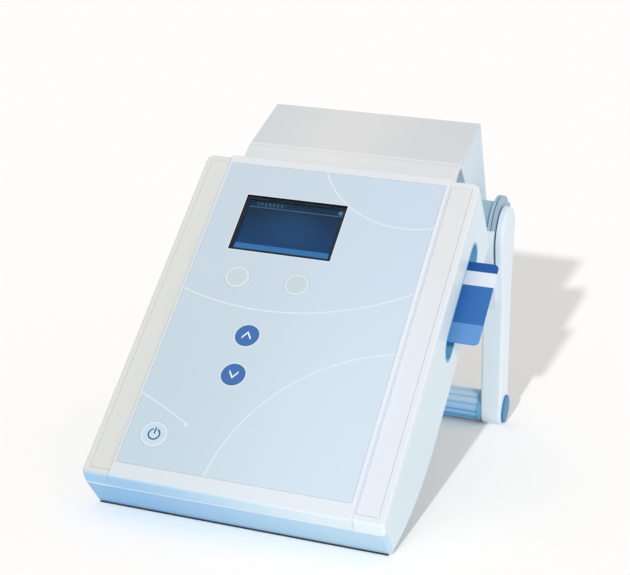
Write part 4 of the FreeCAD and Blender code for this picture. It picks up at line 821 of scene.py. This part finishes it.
# %% Assign finishes
WEARS = {
    "top_shell": CASE, "bottom_shell": TRAY, "front_plate": PLATE, "front_foil": FOIL,
    "trim_strip_left": STRIP, "trim_strip_right": STRIP, "rear_hood": HOOD, "rear_block": BLOCK,
    "battery_door": BLOCK, "display_window": PANE, "display_gasket": GASKET,
    "display_module": PICTURE, "keypad_board": BOARD, "main_board": BOARD, "dome_switches": STEEL,
    "card_slot_bezel": INSERT, "card_reader": DARK, "reader_spacers": DARK, "patient_card": CARD,
    "speaker": DARK, "front_foot": FOOT, "battery_pack": CELL, "power_module": BOARD,
    "patient_cable_socket": SOCKET, "charging_socket": DARK, "hinge_hub_left": HUB,
    "hinge_hub_right": HUB, "handle_disc_left": DISC, "handle_disc_right": DISC,
    "friction_washer_left": FOAM, "friction_washer_right": FOAM, "pivot_pin_left": STEEL,
    "pivot_pin_right": STEEL, "handle_arm_left": ARM, "handle_arm_right": ARM,
    "end_cap_left": CAP, "end_cap_right": CAP, "grip_collar_left": COLLAR,
    "grip_collar_right": COLLAR, "grip_tube": STEEL, "grip_sleeve": GRIP,
    "housing_screws": STEEL, **KEY_FINISH,
}
for name, solid in NODES.items():
    solid.data.materials.clear()
    solid.data.materials.append(WEARS[name])
print("dressed:", len(WEARS), "of", len(NODES))

# %% [markdown]
# ## Recipes for what repeats
# Contact pins, screws and finger ribs repeat one small shape, and rims and lips follow a line. A
# Geometry Nodes recipe makes the shape once, sets it on points or sweeps it along the line, and
# turns the result into real mesh. The sizes are named inputs, so the recipe can be tried with
# others.

# %% The Recipe class


class Recipe(Graph):
    """A Geometry Nodes tree with named sizes, made into a plain mesh."""

    KINDS = {float: "NodeSocketFloat", int: "NodeSocketInt"}

    def __init__(self, name, sizes):
        tree = bpy.data.node_groups.new(name, "GeometryNodeTree")
        super().__init__(tree)
        self.sizes = sizes
        self.sockets = {}
        for label, size in sizes.items():
            kind = self.KINDS[type(size)]
            self.sockets[label] = tree.interface.new_socket(label, in_out="INPUT", socket_type=kind)
        tree.interface.new_socket("Geometry", in_out="OUTPUT", socket_type="NodeSocketGeometry")
        inputs = self.node("NodeGroupInput").socket.node
        self.size = {label: Wire(self, inputs.outputs[label]) for label in sizes}

    def join(self, *shapes):
        """Several shapes as one."""
        return self.node("GeometryNodeJoinGeometry", sockets={0: list(shapes)})

    def vector(self, x=0.0, y=0.0, z=0.0):
        return self.node("ShaderNodeCombineXYZ", sockets={0: x, 1: y, 2: z})

    def moved(self, shape, shift=(0, 0, 0), turn=(0, 0, 0)):
        sockets = {"Geometry": shape, "Translation": shift, "Rotation": turn}
        return self.node("GeometryNodeTransform", sockets=sockets)

    def cylinder(self, sides, radius, depth):
        sockets = {"Vertices": sides, "Radius": radius, "Depth": depth}
        return self.node("GeometryNodeMeshCylinder", {"fill_type": "NGON"}, sockets)

    def ball(self, sides, radius):
        sockets = {"Segments": sides, "Rings": 8, "Radius": radius}
        return self.node("GeometryNodeMeshUVSphere", sockets=sockets)

    def circle(self, sides, radius):
        """A round line, to be swept or to be swept along."""
        sockets = {"Resolution": sides, "Radius": radius}
        return self.node("GeometryNodeCurvePrimitiveCircle", sockets=sockets)

    def swept(self, path, outline, closed=False):
        """An outline carried along a path, with closed ends or without."""
        sockets = {0: path, 1: outline, "Fill Caps": closed}
        return self.node("GeometryNodeCurveToMesh", sockets=sockets)

    def on_points(self, points, shape, turn=(0, 0, 0)):
        """A copy of a shape on each point."""
        sockets = {"Points": points, "Instance": shape, "Rotation": turn}
        return self.node("GeometryNodeInstanceOnPoints", sockets=sockets)

    def cook(self, piece, shape, material, body, slot):
        """Ends the tree, runs it and leaves a plain mesh that rides on a body."""
        real = self.node("GeometryNodeRealizeInstances", sockets={0: shape})
        sockets = {"Geometry": real, "Material": material}
        dressed = self.node("GeometryNodeSetMaterial", sockets=sockets)
        self.node("NodeGroupOutput", sockets={0: dressed})
        pan = bpy.data.objects.new(f"{piece}_recipe", bpy.data.meshes.new(f"{piece}_recipe"))
        bpy.context.scene.collection.objects.link(pan)
        modifier = pan.modifiers.new("recipe", "NODES")
        modifier.node_group = self.tree
        for label, size in self.sizes.items():
            modifier[self.sockets[label].identifier] = size
        pan.update_tag()
        seen_by = bpy.context.evaluated_depsgraph_get()
        mesh = bpy.data.meshes.new_from_object(pan.evaluated_get(seen_by))
        bpy.data.objects.remove(pan)
        mesh.name = piece
        if not mesh.materials:
            mesh.materials.append(material)
        made = bpy.data.objects.new(piece, mesh)
        bpy.context.scene.collection.objects.link(made)
        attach(made, body)
        print(piece, "faces:", len(mesh.polygons))
        return made


print("a recipe takes:", sorted(kind.__name__ for kind in Recipe.KINDS))

# %% [markdown]
# ## Contact pins
# The patient cable's socket holds a ring of round-nosed pins, and the charging socket a single
# thicker one. Both sockets look out of the leaning back wall, so the pins are made upright and
# then leaned with it.

# %% Contact pins


def socket_axis(mount):
    """Mouth and outward direction of a socket, from the record."""
    for row in frame["record"]["mounts"]:
        if row["name"] == mount:
            return Vector(row["pos_m"]), Vector(row["axis"])
    raise RuntimeError(f"no mount {mount}")


def contact_pins(piece, mount, count, ring_radius, pin_radius, pin_length, bore_length):
    recipe = Recipe(f"{piece}_tree", {
        "Count": count, "Ring radius": ring_radius, "Pin radius": pin_radius,
        "Pin length": pin_length,
    })
    size = recipe.size
    shank = recipe.cylinder(16, size["Pin radius"], size["Pin length"])
    shank = recipe.moved(shank, recipe.vector(z=size["Pin length"] * 0.5))
    nose = recipe.moved(recipe.ball(16, size["Pin radius"]), recipe.vector(z=size["Pin length"]))
    if count < 3:
        spots = recipe.node("GeometryNodeMeshLine", sockets={"Count": size["Count"]})
    else:
        sockets = {"Vertices": size["Count"], "Radius": size["Ring radius"]}
        spots = recipe.node("GeometryNodeMeshCircle", sockets=sockets)
    pins = recipe.on_points(spots, recipe.join(shank, nose))
    mouth, outward = socket_axis(mount)
    foot = mouth - outward * bore_length
    lean = Euler((-math.atan2(outward.y, outward.z), 0, 0))
    leaned = recipe.moved(pins, tuple(foot), tuple(lean))
    return recipe.cook(piece, leaned, STEEL, "housing", "steel")


PINS = [
    contact_pins(
        "patient_socket_pins", "patient_cable_socket", count=7, ring_radius=0.0036,
        pin_radius=0.0007, pin_length=0.0065, bore_length=0.011,
    ),
    contact_pins(
        "charging_pin", "charging_socket", count=1, ring_radius=0.0,
        pin_radius=0.0011, pin_length=0.006, bore_length=0.009,
    ),
]

# %% [markdown]
# ## Housing screws
# Four screws hold the tray. Each has a round head with a cross recess and a thread. The head is
# cut once, inside the recipe, and the finished screw is then set on the four posts.

# %% Housing screws
SCREW_SPOTS = [(-71.0, 97.0), (71.0, 97.0), (-71.0, 203.0), (71.0, 203.0)]
SCREW_SEAT = -57.0
THREAD_SHARE = 0.9
THREAD_RIDGE = 0.0002


def housing_screws():
    recipe = Recipe("housing_screws_tree", {
        "Head radius": 0.0030, "Head height": 0.0022, "Shank radius": 0.00125,
        "Shank length": 0.0138, "Thread pitch": 0.0010, "Recess width": 0.0008,
        "Recess length": 0.0034, "Recess depth": 0.0013,
    })
    size = recipe.size
    head = recipe.cylinder(40, size["Head radius"], size["Head height"])
    head = recipe.moved(head, recipe.vector(z=size["Head height"] * -0.5))
    bars = []
    for turn_by in (0.0, math.pi / 2):
        slab = recipe.vector(size["Recess length"], size["Recess width"], size["Recess depth"] * 2)
        bar = recipe.node("GeometryNodeMeshCube", sockets={"Size": slab})
        bars.append(recipe.moved(bar, recipe.vector(z=-size["Head height"]), (0, 0, turn_by)))
    sockets = {"Mesh 1": head, "Mesh 2": bars}
    cut_head = recipe.node("GeometryNodeMeshBoolean", {"operation": "DIFFERENCE"}, sockets)
    shank = recipe.cylinder(24, size["Shank radius"], size["Shank length"])
    shank = recipe.moved(shank, recipe.vector(z=size["Shank length"] * 0.5))
    spiral = recipe.node("GeometryNodeCurveSpiral", sockets={
        "Resolution": 20, "Rotations": size["Shank length"] / size["Thread pitch"] * THREAD_SHARE,
        "Start Radius": size["Shank radius"], "End Radius": size["Shank radius"],
        "Height": size["Shank length"] * THREAD_SHARE,
    })
    thread = recipe.swept(spiral, recipe.circle(6, THREAD_RIDGE))
    start = size["Shank length"] * ((1 - THREAD_SHARE) / 2)
    screw = recipe.join(cut_head, shank, recipe.moved(thread, recipe.vector(z=start)))
    spots = []
    for x, up in SCREW_SPOTS:
        point = recipe.node("GeometryNodeMeshLine", sockets={"Count": 1})
        spots.append(recipe.moved(point, tuple(on_panel(x, up, SCREW_SEAT))))
    screws = recipe.on_points(recipe.join(*spots), screw, (TILT, 0, 0))
    made = recipe.cook("housing_screws_cross", screws, STEEL, "housing", "steel")
    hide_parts("housing_screws")
    return made


SCREWS = housing_screws()

# %% [markdown]
# ## Rims round the keys
# The foil is turned up a little round each key, which shows as a thin, pale ring in the gap. One
# recipe sweeps a fine circle along a larger one for each key and lays it on the leaning panel.

# %% Key rims
RIM_OUT = -0.06


def key_rims():
    recipe = Recipe("key_rims_tree", {"Gap": 0.000125, "Rim radius": 0.0001})
    profile = recipe.circle(8, recipe.size["Rim radius"])
    rims = []
    for across, up, radius in KEYS.values():
        rim = recipe.swept(recipe.circle(72, radius * MM + recipe.size["Gap"]), profile)
        rims.append(recipe.moved(rim, tuple(on_panel(across, up, RIM_OUT)), (TILT, 0, 0)))
    return recipe.cook("key_rims", recipe.join(*rims), FOIL, "housing", "keypad_foil")


KEY_RIMS = key_rims()

# %% [markdown]
# ## Soft lip under the front edge
# A thin dark line shows where the front edge meets the table. It is taken for a soft lip that
# keeps the edge from sliding, and the dark cord also stands in for the contact shadow there: a
# fine round cord of rubber along the edge, swept along a line and closed with a ball at each end.

# %% Foot lip
LIP_HALF = 0.0800
LIP_RADIUS = 0.00042
LIP_PLACE = (0.0, -0.00835, 0.00045)


def rod(recipe, length, radius, sides=12):
    """A round rod along x with ball ends, about the middle."""
    half = length * 0.5
    ends = {"Start": recipe.vector(-half), "End": recipe.vector(half)}
    spine = recipe.node("GeometryNodeCurvePrimitiveLine", sockets=ends)
    bar = recipe.swept(spine, recipe.circle(sides, radius), closed=True)
    ball = recipe.ball(sides, radius)
    return recipe.join(bar, *(recipe.moved(ball, recipe.vector(end)) for end in (-half, half)))


def foot_lip_shadow():
    recipe = Recipe("foot_lip_tree", {"Length": 2 * LIP_HALF, "Lip radius": LIP_RADIUS})
    # the dark cord also stands in for the contact shadow under the front edge
    lip = recipe.moved(rod(recipe, recipe.size["Length"], recipe.size["Lip radius"]), LIP_PLACE)
    return recipe.cook("foot_lip_shadow", lip, DARK_RUBBER_SHADOW, "housing", "foot_rubber")


FOOT_LIP_SHADOW = foot_lip_shadow()

# %% [markdown]
# ## Finger ribs on the battery door
# The door slides out under a thumb, so it has a row of short, round ribs. One rib is the same rod
# with ball ends as the lip, and a line of points carries the copies up the slope.

# %% Finger ribs
RIBS_PLACE = (0, 247, -126.75)


def door_ribs():
    recipe = Recipe("door_ribs_tree", {
        "Count": 7, "Spacing": 0.0026, "Rib length": 0.026, "Rib radius": 0.0007,
    })
    size = recipe.size
    sockets = {"Count": size["Count"], "Offset": recipe.vector(y=size["Spacing"])}
    row = recipe.node("GeometryNodeMeshLine", sockets=sockets)
    ribs = recipe.on_points(row, rod(recipe, size["Rib length"], size["Rib radius"]))
    leaned = recipe.moved(ribs, tuple(on_panel(*RIBS_PLACE)), (TILT, 0, 0))
    return recipe.cook("battery_door_ribs", leaned, BLOCK, "housing", "tray_plastic")


RIBS = door_ribs()

# %% [markdown]
# ## The end
